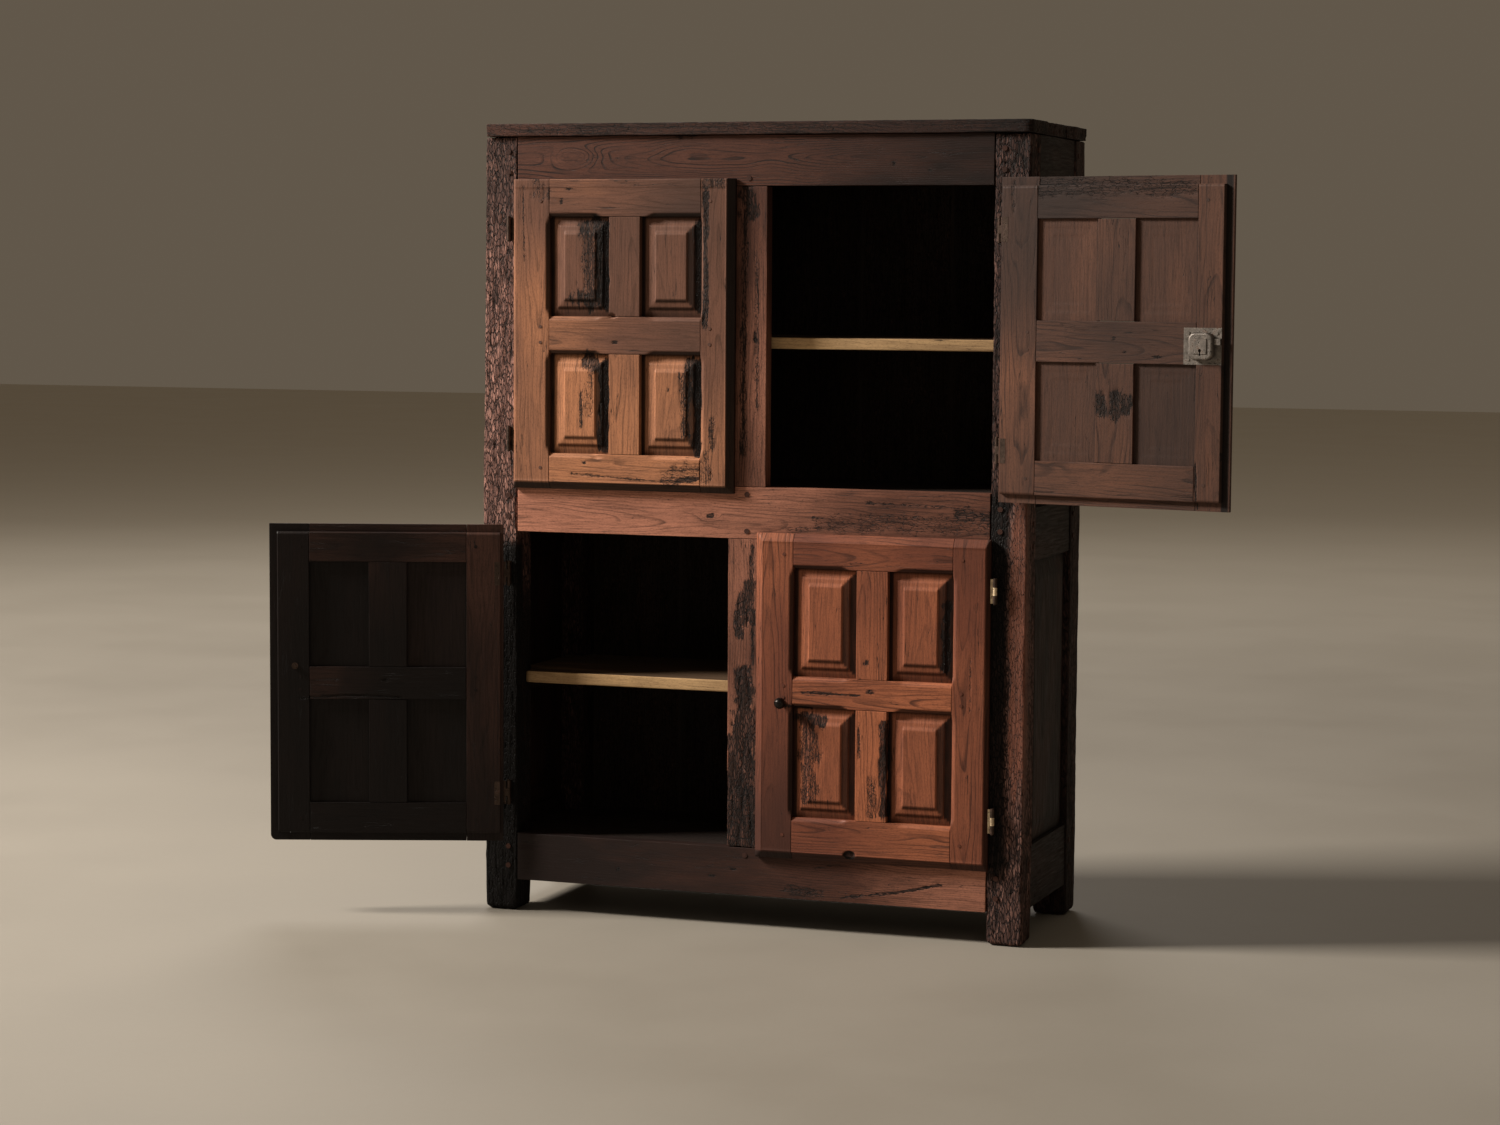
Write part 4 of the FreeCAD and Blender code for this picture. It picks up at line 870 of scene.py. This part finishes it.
notch_clearance = 1.0
floor_look = Look(tones=(0.4,), weather=full(0.15), grid=coarse_grid, pith=(20, 60))
batten_look = Look(tones=(0.4,), grid=inner_grid)


def notched(low, high):
    """Narrows a shelf or floor board at both ends, where it passes the posts."""
    left, right = opening_left + notch_clearance, opening_right - notch_clearance
    y0, y1 = low[1], high[1]
    to0, to1 = max(y0, side_front + notch_clearance), min(y1, side_rear - notch_clearance)

    def bend(p):
        at_end = (p[:, 0] < left - rebate_step / 2) | (p[:, 0] > right + rebate_step / 2)
        return moved(p, 1, np.where(at_end, to0 + (p[:, 1] - y0) * (to1 - to0) / (y1 - y0), p[:, 1]))

    return ((left - rebate_step, left, right, right + rebate_step), (), ()), bend


def shelf(low, high, seed):
    """A shelf with a pale, worn front edge."""
    def pale_front(p):
        fresh = fall(p[:, 1], low[1] + 1.0, low[1] + 5.0)
        return fresh * (0.42 + 0.10 * noise(p, (140, 30, 12), seed)) - 0.03

    look = Look(edge=2.2, edge_wear=2.5, undulation=1.4, tone_at=pale_front, pith=(70, 80), tilt=0.03,
                grid=shelf_grid)
    return board(low, high, 0, look, seed, *notched(low, high))


def floor_board(low, high, seed):
    return board(low, high, 0, floor_look, seed, *notched(low, high))


# Doors

door_front, door_back = -20.0, 8.0
lip_back = -0.8
lip_bevel, hinge_bevel, bevel_depth = 17.0, 8.0, 11.0
hinge_lip = 7.0
chamfer_face, chamfer_depth, chamfer_stop, chamfer_run = 8.0, 6.0, 14.0, 16.0
tongue_front, panel_back = -5.0, 1.0
lower_slope, lower_rise, upper_slope, panel_step, field_front = 17.0, 4.5, 16.0, 1.2, -15.0
field_edge = lower_slope + upper_slope
panel_cover = 3.0
dent_depth = 7.0


def limits(points, axis):
    return points[:, axis].min(), points[:, axis].max()


class Door:
    """One door in its own measure: x from the hinge edge to the free edge, closed, in millimetres."""

    def __init__(self, name):
        self.prefix = f"{name}_door"
        joint = next(j for j in frame["joints"] if j["child"] == self.prefix)
        self.axis = np.array(joint["pos_m"][:2]) / MM
        self.open = math.radians(-joint["range_deg"][0] if abs(joint["range_deg"][0]) > 90 else 0.0)
        self.mirrored = name.endswith("right")
        self.way = -1 if self.mirrored else 1
        # own() takes the edge away, so that it is 0 until it has been measured
        self.edge = 0.0
        self.edge = self.own("hinge_stile")[:, 0].min()
        lock = self.own("lock_stile")
        plate = lock[lock[:, 1] > 0]
        self.stile_a = self.own("hinge_stile")[:, 0].max()
        self.stile_b, self.lip_x = limits(lock, 0)
        self.lip_z0, self.lip_z1 = limits(lock, 2)
        self.plate_x = plate[:, 0].max()
        self.plate_z0, self.plate_z1 = limits(plate, 2)
        self.middle_z0, self.middle_z1 = limits(self.own("middle_rail"), 2)
        self.top_z, self.bottom_z = self.own("top_rail")[:, 2].min(), self.own("bottom_rail")[:, 2].max()
        self.muntin_a, self.muntin_b = limits(self.own("muntins"), 0)
        self.rows = ((self.bottom_z, self.middle_z0), (self.middle_z1, self.top_z))
        self.columns = ((self.stile_a, self.muntin_a), (self.muntin_b, self.stile_b))
        self.top_bevel = door_finish[name].top_bevel

    def turned(self, points, angle):
        out = points.copy()
        c, s = math.cos(angle), math.sin(angle)
        x, y = points[:, 0] - self.axis[0], points[:, 1] - self.axis[1]
        out[:, 0], out[:, 1] = self.axis[0] + c * x - s * y, self.axis[1] + s * x + c * y
        return out

    def own(self, member):
        """A member's corners in the door's own measure."""
        points = self.turned(node_points(f"{self.prefix}_{member}"), self.way * self.open)
        return moved(points, 0, self.way * (points[:, 0] - self.axis[0]) - self.edge)

    def __call__(self, points):
        """Own measure to the part's frame, at the angle where the door stands at rest."""
        out = moved(points, 0, self.axis[0] + self.way * (points[:, 0] + self.edge))
        return self.turned(out, -self.way * self.open)

    def front_at(self, x, z):
        """Depth of the front face, with the bevels of the lip."""
        shares = [1 - (x + hinge_lip) / hinge_bevel, 1 - (self.lip_x - x) / lip_bevel,
                  1 - (z - self.lip_z0) / lip_bevel]
        side = bevel_depth * np.clip(np.maximum.reduce(shares), 0, 1)
        top = bevel_depth * (1 - (self.lip_z1 - z) / lip_bevel) - bevel_depth * (1 - self.top_bevel)
        return door_front + np.maximum(side, np.clip(top, 0, None))

    def chamfer_at(self, x, z, member):
        """Extra depth of the stopped chamfers along the panel openings."""
        depth = np.zeros(len(x))
        if member in ("hinge_stile", "lock_stile"):
            away = self.stile_a - x if member == "hinge_stile" else x - self.stile_b
            for low, high in self.rows:
                size = np.clip(np.minimum(z - low, high - z) / chamfer_run, 0, 1)
                depth = np.maximum(depth, chamfer_depth * (size - away / chamfer_face))
        edges = {"top_rail": [z - self.top_z], "bottom_rail": [self.bottom_z - z],
                 "middle_rail": [self.middle_z1 - z, z - self.middle_z0]}.get(member, [])
        for away in edges:
            for near, far in ((self.stile_a, self.muntin_a), (self.stile_b, self.muntin_b)):
                way = 1 if far > near else -1
                along = (far - x) * way - chamfer_stop
                size = np.clip(along / chamfer_run, 0, 1) * ((x - near) * way >= -1)
                depth = np.maximum(depth, chamfer_depth * (size - away / chamfer_face) * (size > 0))
        return depth

    def shaped(self, p, member):
        """The lips, chamfers and step of one member of the door's frame."""
        x, y, z = p.T
        front = np.maximum(self.front_at(x, z), door_front + self.chamfer_at(x, z, member))
        inside = margin(p, (0, 2), (0, 0, self.plate_z0), (self.plate_x, 0, self.plate_z1))
        back = np.where(inside > -rebate_step / 2, door_back, lip_back)
        return moved(p, 1, mixed(front, back, (y - door_front) / (door_back - door_front)))

    def dirt(self, member, finish):
        """Painted shade on the lip bevels and chamfers that the light misses, and in the recessed strip of the lip
        on the back face.
        """
        hinge, free, bottom = finish.lip_dirt
        shaded_stile = "lock_stile" if self.mirrored else "hinge_stile"
        free_edge, bottom_edge = self.lip_x - lip_bevel, self.lip_z0 + lip_bevel

        def at(p):
            x, y, z = p.T
            # Painted shade: the lip bevels facing away from the light, the chamfers facing down and the chamfers
            # of the stile on the shaded side.
            lips = [hinge * fall(x + hinge_lip, hinge_bevel - 2, hinge_bevel),
                    free * rise(x, free_edge, free_edge + 2), bottom * fall(z, bottom_edge - 2, bottom_edge)]
            middle = (self.middle_z0 + self.middle_z1) / 2
            facing_down = z < middle if member == "middle_rail" else member == "top_rail"
            chamfer = rise(self.chamfer_at(x, z, member), 0.3, 1.5)
            dirt = np.maximum.reduce([*lips, 0.8 * chamfer * (facing_down | (member == shaded_stile))])
            # Painted shade in the recessed strip of the lip on the back face.
            step = rise(x, self.plate_x - 1, self.plate_x + 1) * fall(x, self.lip_x - 5, self.lip_x - 2)
            return np.where(y > door_back - 0.5, finish.back_dirt * step, dirt)
        return at

    def marks(self):
        """Grid lines at the bevels, chamfers and the step behind the lip."""
        x = (-rebate_step, 0, hinge_bevel - hinge_lip, self.lip_x - lip_bevel, self.plate_x,
             self.plate_x + rebate_step, self.stile_a - chamfer_face, self.stile_b + chamfer_face)
        z = (self.lip_z0 + lip_bevel, self.lip_z1 - lip_bevel, self.plate_z0 - rebate_step, self.plate_z0,
             self.plate_z1, self.plate_z1 + rebate_step, self.top_z + chamfer_face,
             self.bottom_z - chamfer_face, self.middle_z0 + chamfer_face, self.middle_z1 - chamfer_face)
        return x, (), z


panel_foot = tongue_front - lower_rise
panel_stations = (
    (-panel_cover, tongue_front), (0, tongue_front), (lower_slope, panel_foot),
    (lower_slope + rebate_step, panel_foot - panel_step), (field_edge, field_front + panel_step),
    (field_edge + rebate_step, field_front))
panel_steps = (0, lower_slope, lower_slope + rebate_step, field_edge, field_edge + rebate_step)


def raised_panel(opening, mirrored, look, seed):
    """A raised and fielded panel, with painted shade on the sides and slopes that the light misses."""
    a, b, c, d = opening
    low = (a - panel_cover, field_front, c - panel_cover)
    high = (b + panel_cover, panel_back, d + panel_cover)

    def bend(p):
        face = between_stations(margin(p, (0, 2), (a, 0, c), (b, 0, d)), panel_stations)
        return moved(p, 1, mixed(face, panel_back, (p[:, 1] - field_front) / (panel_back - field_front)))

    def grime(p):
        x, y, z = p.T
        near, far = (b - x, x - a) if mirrored else (x - a, b - x)
        above, below = d - z, z - c
        far_slope = rise(np.minimum(above, below) - far, -1.5, 1.5)
        low_slope = rise(np.minimum(near, far) - below, -1.5, 1.5)
        # Painted shade: a shadow band inside the edge on the light's side and under the top, the slopes facing
        # away from the light, and lines under the steps of the lower slopes.
        dirt = [0.97 * fall(near, 6.5, 10.5), 0.9 * fall(above, 2.5, 6.5),
                0.98 * far_slope * fall(far, lower_slope - 1, lower_slope + 2),
                0.82 * far_slope * fall(far, field_edge - 3, field_edge + 1),
                0.55 * low_slope * fall(below, 8, lower_slope),
                0.85 * low_slope * bump_at(below, lower_slope, 2.2),
                0.8 * low_slope * bump_at(below, field_edge, 2.0)]
        dirt = np.maximum.reduce(dirt) * (0.96 + 0.06 * noise(p, (9, 9, 30), seed))
        # On the back face, a painted shadow line along one edge.
        return np.where(y > panel_back - 0.5, 0.9 * fall(near, 1.5, 4.5), dirt)

    x_marks, z_marks = ([start + s for s in panel_steps] + [end - s for s in panel_steps]
                        for start, end in ((a, b), (c, d)))
    return board(low, high, 2, replace(look, grime=grime), seed, (x_marks, (), z_marks), bend)


@dataclass
class DoorFinish:
    """Wear of one door in its own measure, and where shade is painted on it. A dent is (x, z, reach in x,
    reach in z); the three shares of the lip entry are painted shade on the lips at the hinge, at the free
    edge and at the bottom, and the back entry is painted shade in the recessed strip behind the lip."""
    seed: int
    tones: dict
    marks: tuple
    dents: tuple = ()
    figures: tuple = (0.7, 0.35)
    lip_dirt: tuple = (0.0, 0.0, 0.0)
    back_dirt: float = 0.0
    top_bevel: float = 1.0
    free_corner: float = 0.0


upper_left_marks = (
    (431, 1540, 431, 1262, 8, 0.9), (446, 1070, 447, 1010, 8, 0.45), (436, 1000, 434, 965, 9, 0.4),
    (52, 1562, 62, 1540, 20, 0.42), (432, 1560, 470, 1562, 14, 0.5), (165, 1468, 196, 1474, 20, 0.85),
    (163, 1450, 165, 1340, 20, 0.55), (200, 1470, 200, 1310, 16, 1.0), (152, 1322, 192, 1318, 28, 0.85),
    (166, 1190, 184, 1176, 22, 0.75), (172, 1160, 170, 1080, 12, 0.42), (150, 1120, 150, 1050, 5, 0.55),
    (200, 1180, 200, 1010, 15, 1.0), (394, 1186, 398, 1172, 16, 0.85), (384, 1160, 388, 1040, 12, 0.55),
    (412, 1180, 412, 1000, 13, 0.9), (412, 1480, 412, 1300, 9, 0.6), (345, 945, 425, 958, 24, 0.42),
    (372, 941, 417, 946, 6, 1.0), (228, 1229, 231, 1228, 3.5, 1.0), (121, 1549, 126, 1549, 3, 0.9),
    (106, 1526, 106, 1520, 3, 0.9), (157, 975, 160, 974, 4, 1.0), (347, 1133, 348, 1132, 3.5, 0.9),
    (20, 1555, 22, 1400, 3, 0.5), (130, 950, 330, 938, 3, 0.5))
upper_right_marks = (
    (90, 1550, 410, 1546, 20, 0.36), (247, 1251, 249, 1251, 3, 1.0), (271, 1224, 273, 1224, 3, 1.0),
    (334, 1216, 352, 1216, 3.5, 0.9), (224, 1132, 226, 1106, 17, 0.75), (252, 1136, 252, 1104, 17, 0.8),
    (278, 1128, 276, 1108, 15, 0.7), (428, 1005, 431, 920, 3, 1.0), (20, 1560, 24, 1500, 4, 0.4))
lower_left_marks = (
    (214, 466, 300, 470, 3, 0.8), (300, 470, 428, 464, 3, 0.8), (244, 503, 248, 503, 5, 0.8))
lower_right_marks = (
    (252, 576, 256, 574, 5, 0.85), (246, 515, 252, 515, 6, 0.8), (270, 507, 395, 508, 3, 0.7),
    (375, 474, 440, 480, 3, 0.8), (384, 440, 378, 290, 24, 0.55), (404, 456, 350, 448, 13, 0.75),
    (268, 440, 268, 380, 4, 0.6), (216, 448, 213, 262, 11, 0.9), (240, 330, 240, 262, 14, 0.45),
    (283, 172, 291, 172, 9, 0.9), (84, 700, 86, 570, 10, 0.85), (30, 600, 31, 480, 2.5, 0.4))
door_finish = {
    "upper_left": DoorFinish(seed=301, marks=upper_left_marks, tones={
        "hinge_stile": (0.7, 0.7, 0.9, 0.5), "lock_stile": (0.8, 0.5, 0.4, 0.3), "top_rail": (0.5, 0.1),
        "middle_rail": (0.7, 0.5, 0.3), "bottom_rail": (1.0,), "muntins": ((1.0, 0.8), (0.3,)),
        "panels": ((1.0,), (0.8,), (0.5,), (0.4,))},
        dents=((223, 1283, 9, 6), (308, 1283, 8, 5), (190, 986, 12, 5)), lip_dirt=(0.0, 0.95, 0.95),
        top_bevel=0.12),
    "upper_right": DoorFinish(seed=331, marks=upper_right_marks, tones={
        "hinge_stile": (0.6, 0.9, 0.3, 0.2), "lock_stile": (0.5, 0.4, 0.5, 0.6), "top_rail": (0.0, 0.2, 0.4),
        "middle_rail": (0.5, 0.2, 0.4), "bottom_rail": (0.6, 0.6, 0.4), "muntins": ((0.6, 0.5), (0.3, 0.5)),
        "panels": ((0.4,), (0.2,), (0.5,), (0.5,))}, figures=(0.95, 0.2), back_dirt=0.96),
    "lower_left": DoorFinish(seed=361, marks=lower_left_marks, tones={
        "hinge_stile": (0.4, 0.7, 0.7, 1.0), "lock_stile": (0.0, 0.0, 0.0, 0.2), "top_rail": (0.8, 0.6, 0.6),
        "middle_rail": (0.0, 0.0, 0.6), "bottom_rail": (0.0,), "muntins": ((0.0,), (0.1, 0.5)),
        "panels": ((0.0,), (0.0,), (0.4,), (0.0,))}, figures=(0.5, 0.25), free_corner=13.0),
    "lower_right": DoorFinish(seed=391, marks=lower_right_marks, tones={
        "hinge_stile": (0.6, 0.6, 0.6, 0.4), "lock_stile": (0.0, 0.3, 0.5, 0.7), "top_rail": (0.5, 0.7, 0.5),
        "middle_rail": (1.0, 0.7), "bottom_rail": (0.8, 0.5), "muntins": ((1.0,), (0.8, 0.6)),
        "panels": ((0.7,), (0.8,), (0.7,), (0.8,))},
        dents=((287, 172, 13, 10),), figures=(1.0, 0.4), lip_dirt=(0.75, 0.0, 0.8)),
}
first_muntin_seed, first_panel_seed = 8, 12


def door_member(door, finish, member, place, seed, tones):
    """One board of a door's frame, with its bevels, chamfers, marks and dents."""
    x0, x1, z0, z1 = place
    look = Look(weather=marked(finish.marks, finish.seed), grime=door.dirt(member, finish), tones=tones,
                figure=finish.figures[0], pith=(22 - seed % 5 * 9, 45), tilt=0.03 * (-1) ** seed,
                grid=door_grid)

    def bend(p):
        out = door.shaped(p, member)
        for x, z, reach_x, reach_z in finish.dents:
            out = dented(out, np.array((x, door_front, z)), np.array((reach_x, dent_depth, reach_z)))
        if finish.free_corner and member == "lock_stile":
            out = corner_rounded(out, (0, 2), (door.lip_x, door.lip_z0), (1, -1), finish.free_corner)
        return out

    along = 0 if member.endswith("rail") else 2
    return board((x0, door_front, z0), (x1, door_back, z1), along, look, seed, door.marks(), bend)


def make_door(name):
    door, finish = Door(name), door_finish[name]
    stiles = door.stile_a, door.stile_b
    places = {
        "hinge_stile": (-hinge_lip, door.stile_a, door.lip_z0, door.lip_z1),
        "lock_stile": (door.stile_b, door.lip_x, door.lip_z0, door.lip_z1),
        "top_rail": (*stiles, door.top_z, door.lip_z1),
        "middle_rail": (*stiles, door.middle_z0, door.middle_z1),
        "bottom_rail": (*stiles, door.lip_z0, door.bottom_z),
    }
    boards = {member: [door_member(door, finish, member, place, finish.seed + i, finish.tones[member])]
              for i, (member, place) in enumerate(places.items())}
    boards["muntins"] = [
        door_member(door, finish, "muntins", (door.muntin_a, door.muntin_b, *row),
                    finish.seed + first_muntin_seed + i, finish.tones["muntins"][i])
        for i, row in enumerate(door.rows)]
    boards["panels"] = []
    for i, opening in enumerate((*column, *row) for row in door.rows for column in door.columns):
        look = Look(weather=marked(finish.marks, finish.seed), tones=finish.tones["panels"][i], tilt=0.04,
                    figure=finish.figures[1], pith=(30 - 20 * i, 55), edge=0.3, edge_wear=0.3, grid=door_grid)
        seed = finish.seed + first_panel_seed + i
        boards["panels"].append(raised_panel(opening, door.mirrored, look, seed))
    for member, made in boards.items():
        node = f"{door.prefix}_{member}"
        piece(f"{node}_oak", made, [node], oaks[name], door)


def finish_cad_nodes():
    """Gives every node that still shows its iron or its peg wood."""
    for node, shown in cad_nodes.items():
        door = next((name for name in door_finish if node.startswith(name)), None)
        if node.endswith("pegs"):
            material = pegs[door or "frame"]
        elif node in ("rim_lock", "lock_bolt"):
            material = lock_iron
        elif node.endswith("knob"):
            material = dark_iron if door == "lower_right" else wrought_iron
        elif node.endswith("hinge_leaves") or node == "nails":
            # The lower right door's hinges get the pale iron with its painted highlight.
            material = worn_iron if door == "lower_right" else wrought_iron
        else:
            continue
        shown.data.materials.clear()
        shown.data.materials.append(material)


# Stage, light and camera

def floor_material():
    """A pale floor that turns lighter towards the horizon."""
    n = Nodes("pale_floor")
    place = n.place()
    broad = n.noise(place, scale=1.3, detail=4.0, roughness=0.55)
    fine = n.noise(place, scale=60.0, detail=3.0)
    colour = n.ramp(n.weighted((broad, 0.8), (fine, 0.2)), *zip((0.35, 0.65), near_floor_colours))
    colour = n.mix(n.range(n.vector("LENGTH", place), 3.0, 12.0), colour, far_floor_colour)
    return n.finish(colour, n.range(broad, 0.3, 0.7, 0.55, 0.7), fine, 0.15)


def make_stage():
    s = floor_half_size
    mesh = bpy.data.meshes.new("floor")
    mesh.from_pydata([(-s, -s, 0), (s, -s, 0), (s, s, 0), (-s, s, 0)], [], [(0, 1, 2, 3)])
    mesh.materials.append(floor_material())
    floor = bpy.data.objects.new("floor", mesh)
    bpy.context.scene.collection.objects.link(floor)


def facing(place, forward):
    """A matrix at a place that looks along forward, level from left to right."""
    forward = np.array(forward) / np.linalg.norm(forward)
    right = np.cross(forward, (0, 0, 1))
    right /= np.linalg.norm(right)
    columns = np.column_stack([right, np.cross(right, forward), -forward, place])
    return Matrix([*columns.tolist(), [0, 0, 0, 1]])


def area_light(name, azimuth, elevation, distance, size, power, colour):
    """A square light that faces the cupboard."""
    data = bpy.data.lights.new(name, "AREA")
    data.size, data.energy, data.color = size, power, colour
    light = bpy.data.objects.new(name, data)
    a, e = math.radians(azimuth), math.radians(elevation)
    away = np.array([-math.sin(a) * math.cos(e), -math.cos(a) * math.cos(e), math.sin(e)])
    light.matrix_world = facing(np.array(aim) + away * distance, -away)
    bpy.context.scene.collection.objects.link(light)


def make_lights():
    for name, settings in lights.items():
        area_light(name, **settings)
    world = bpy.data.worlds.new("studio")
    world.use_nodes = True
    background = world.node_tree.nodes["Background"]
    background.inputs["Color"].default_value = (*world_colour, 1.0)
    background.inputs["Strength"].default_value = world_strength
    bpy.context.scene.world = world


def make_camera():
    data = bpy.data.cameras.new("camera")
    data.lens, data.sensor_width = camera_lens, camera_sensor
    data.clip_end = 4 * floor_half_size
    camera = bpy.data.objects.new("camera", data)
    level = math.cos(camera_pitch)
    forward = (-math.sin(camera_yaw) * level, math.cos(camera_yaw) * level, math.sin(camera_pitch))
    camera.matrix_world = facing(camera_place, forward) @ Matrix.Rotation(camera_roll, 4, "Z")
    bpy.context.scene.collection.objects.link(camera)
    bpy.context.scene.camera = camera


# The number beside a node is the seed of its first board
make_posts()
make_front_rails()
make_muntins()
make_boards("side_rails", 131, plain_board(1, side_rail_look, (side_front, side_rear)))
make_boards("side_panels", 141, side_panel)
make_boards("rear_rails", 151, rail_between_posts(rear_rail_look), oaks["inner"])
make_boards("back_boards", first_back_seed, back_board, oaks["inner"])
make_boards("top_boards", first_top_seed, top_board)
make_boards("upper_shelf", 181, shelf, oaks["shelf"])
make_boards("lower_shelf", 182, shelf, oaks["shelf"])
make_boards("floor_boards", 191, floor_board, oaks["inner"])
make_boards("shelf_battens", 201, plain_board(1, batten_look), oaks["inner"])
for door_name in door_finish:
    make_door(door_name)
finish_cad_nodes()
make_stage()
make_lights()
make_camera()
bpy.context.scene.view_settings.view_transform = "Standard"
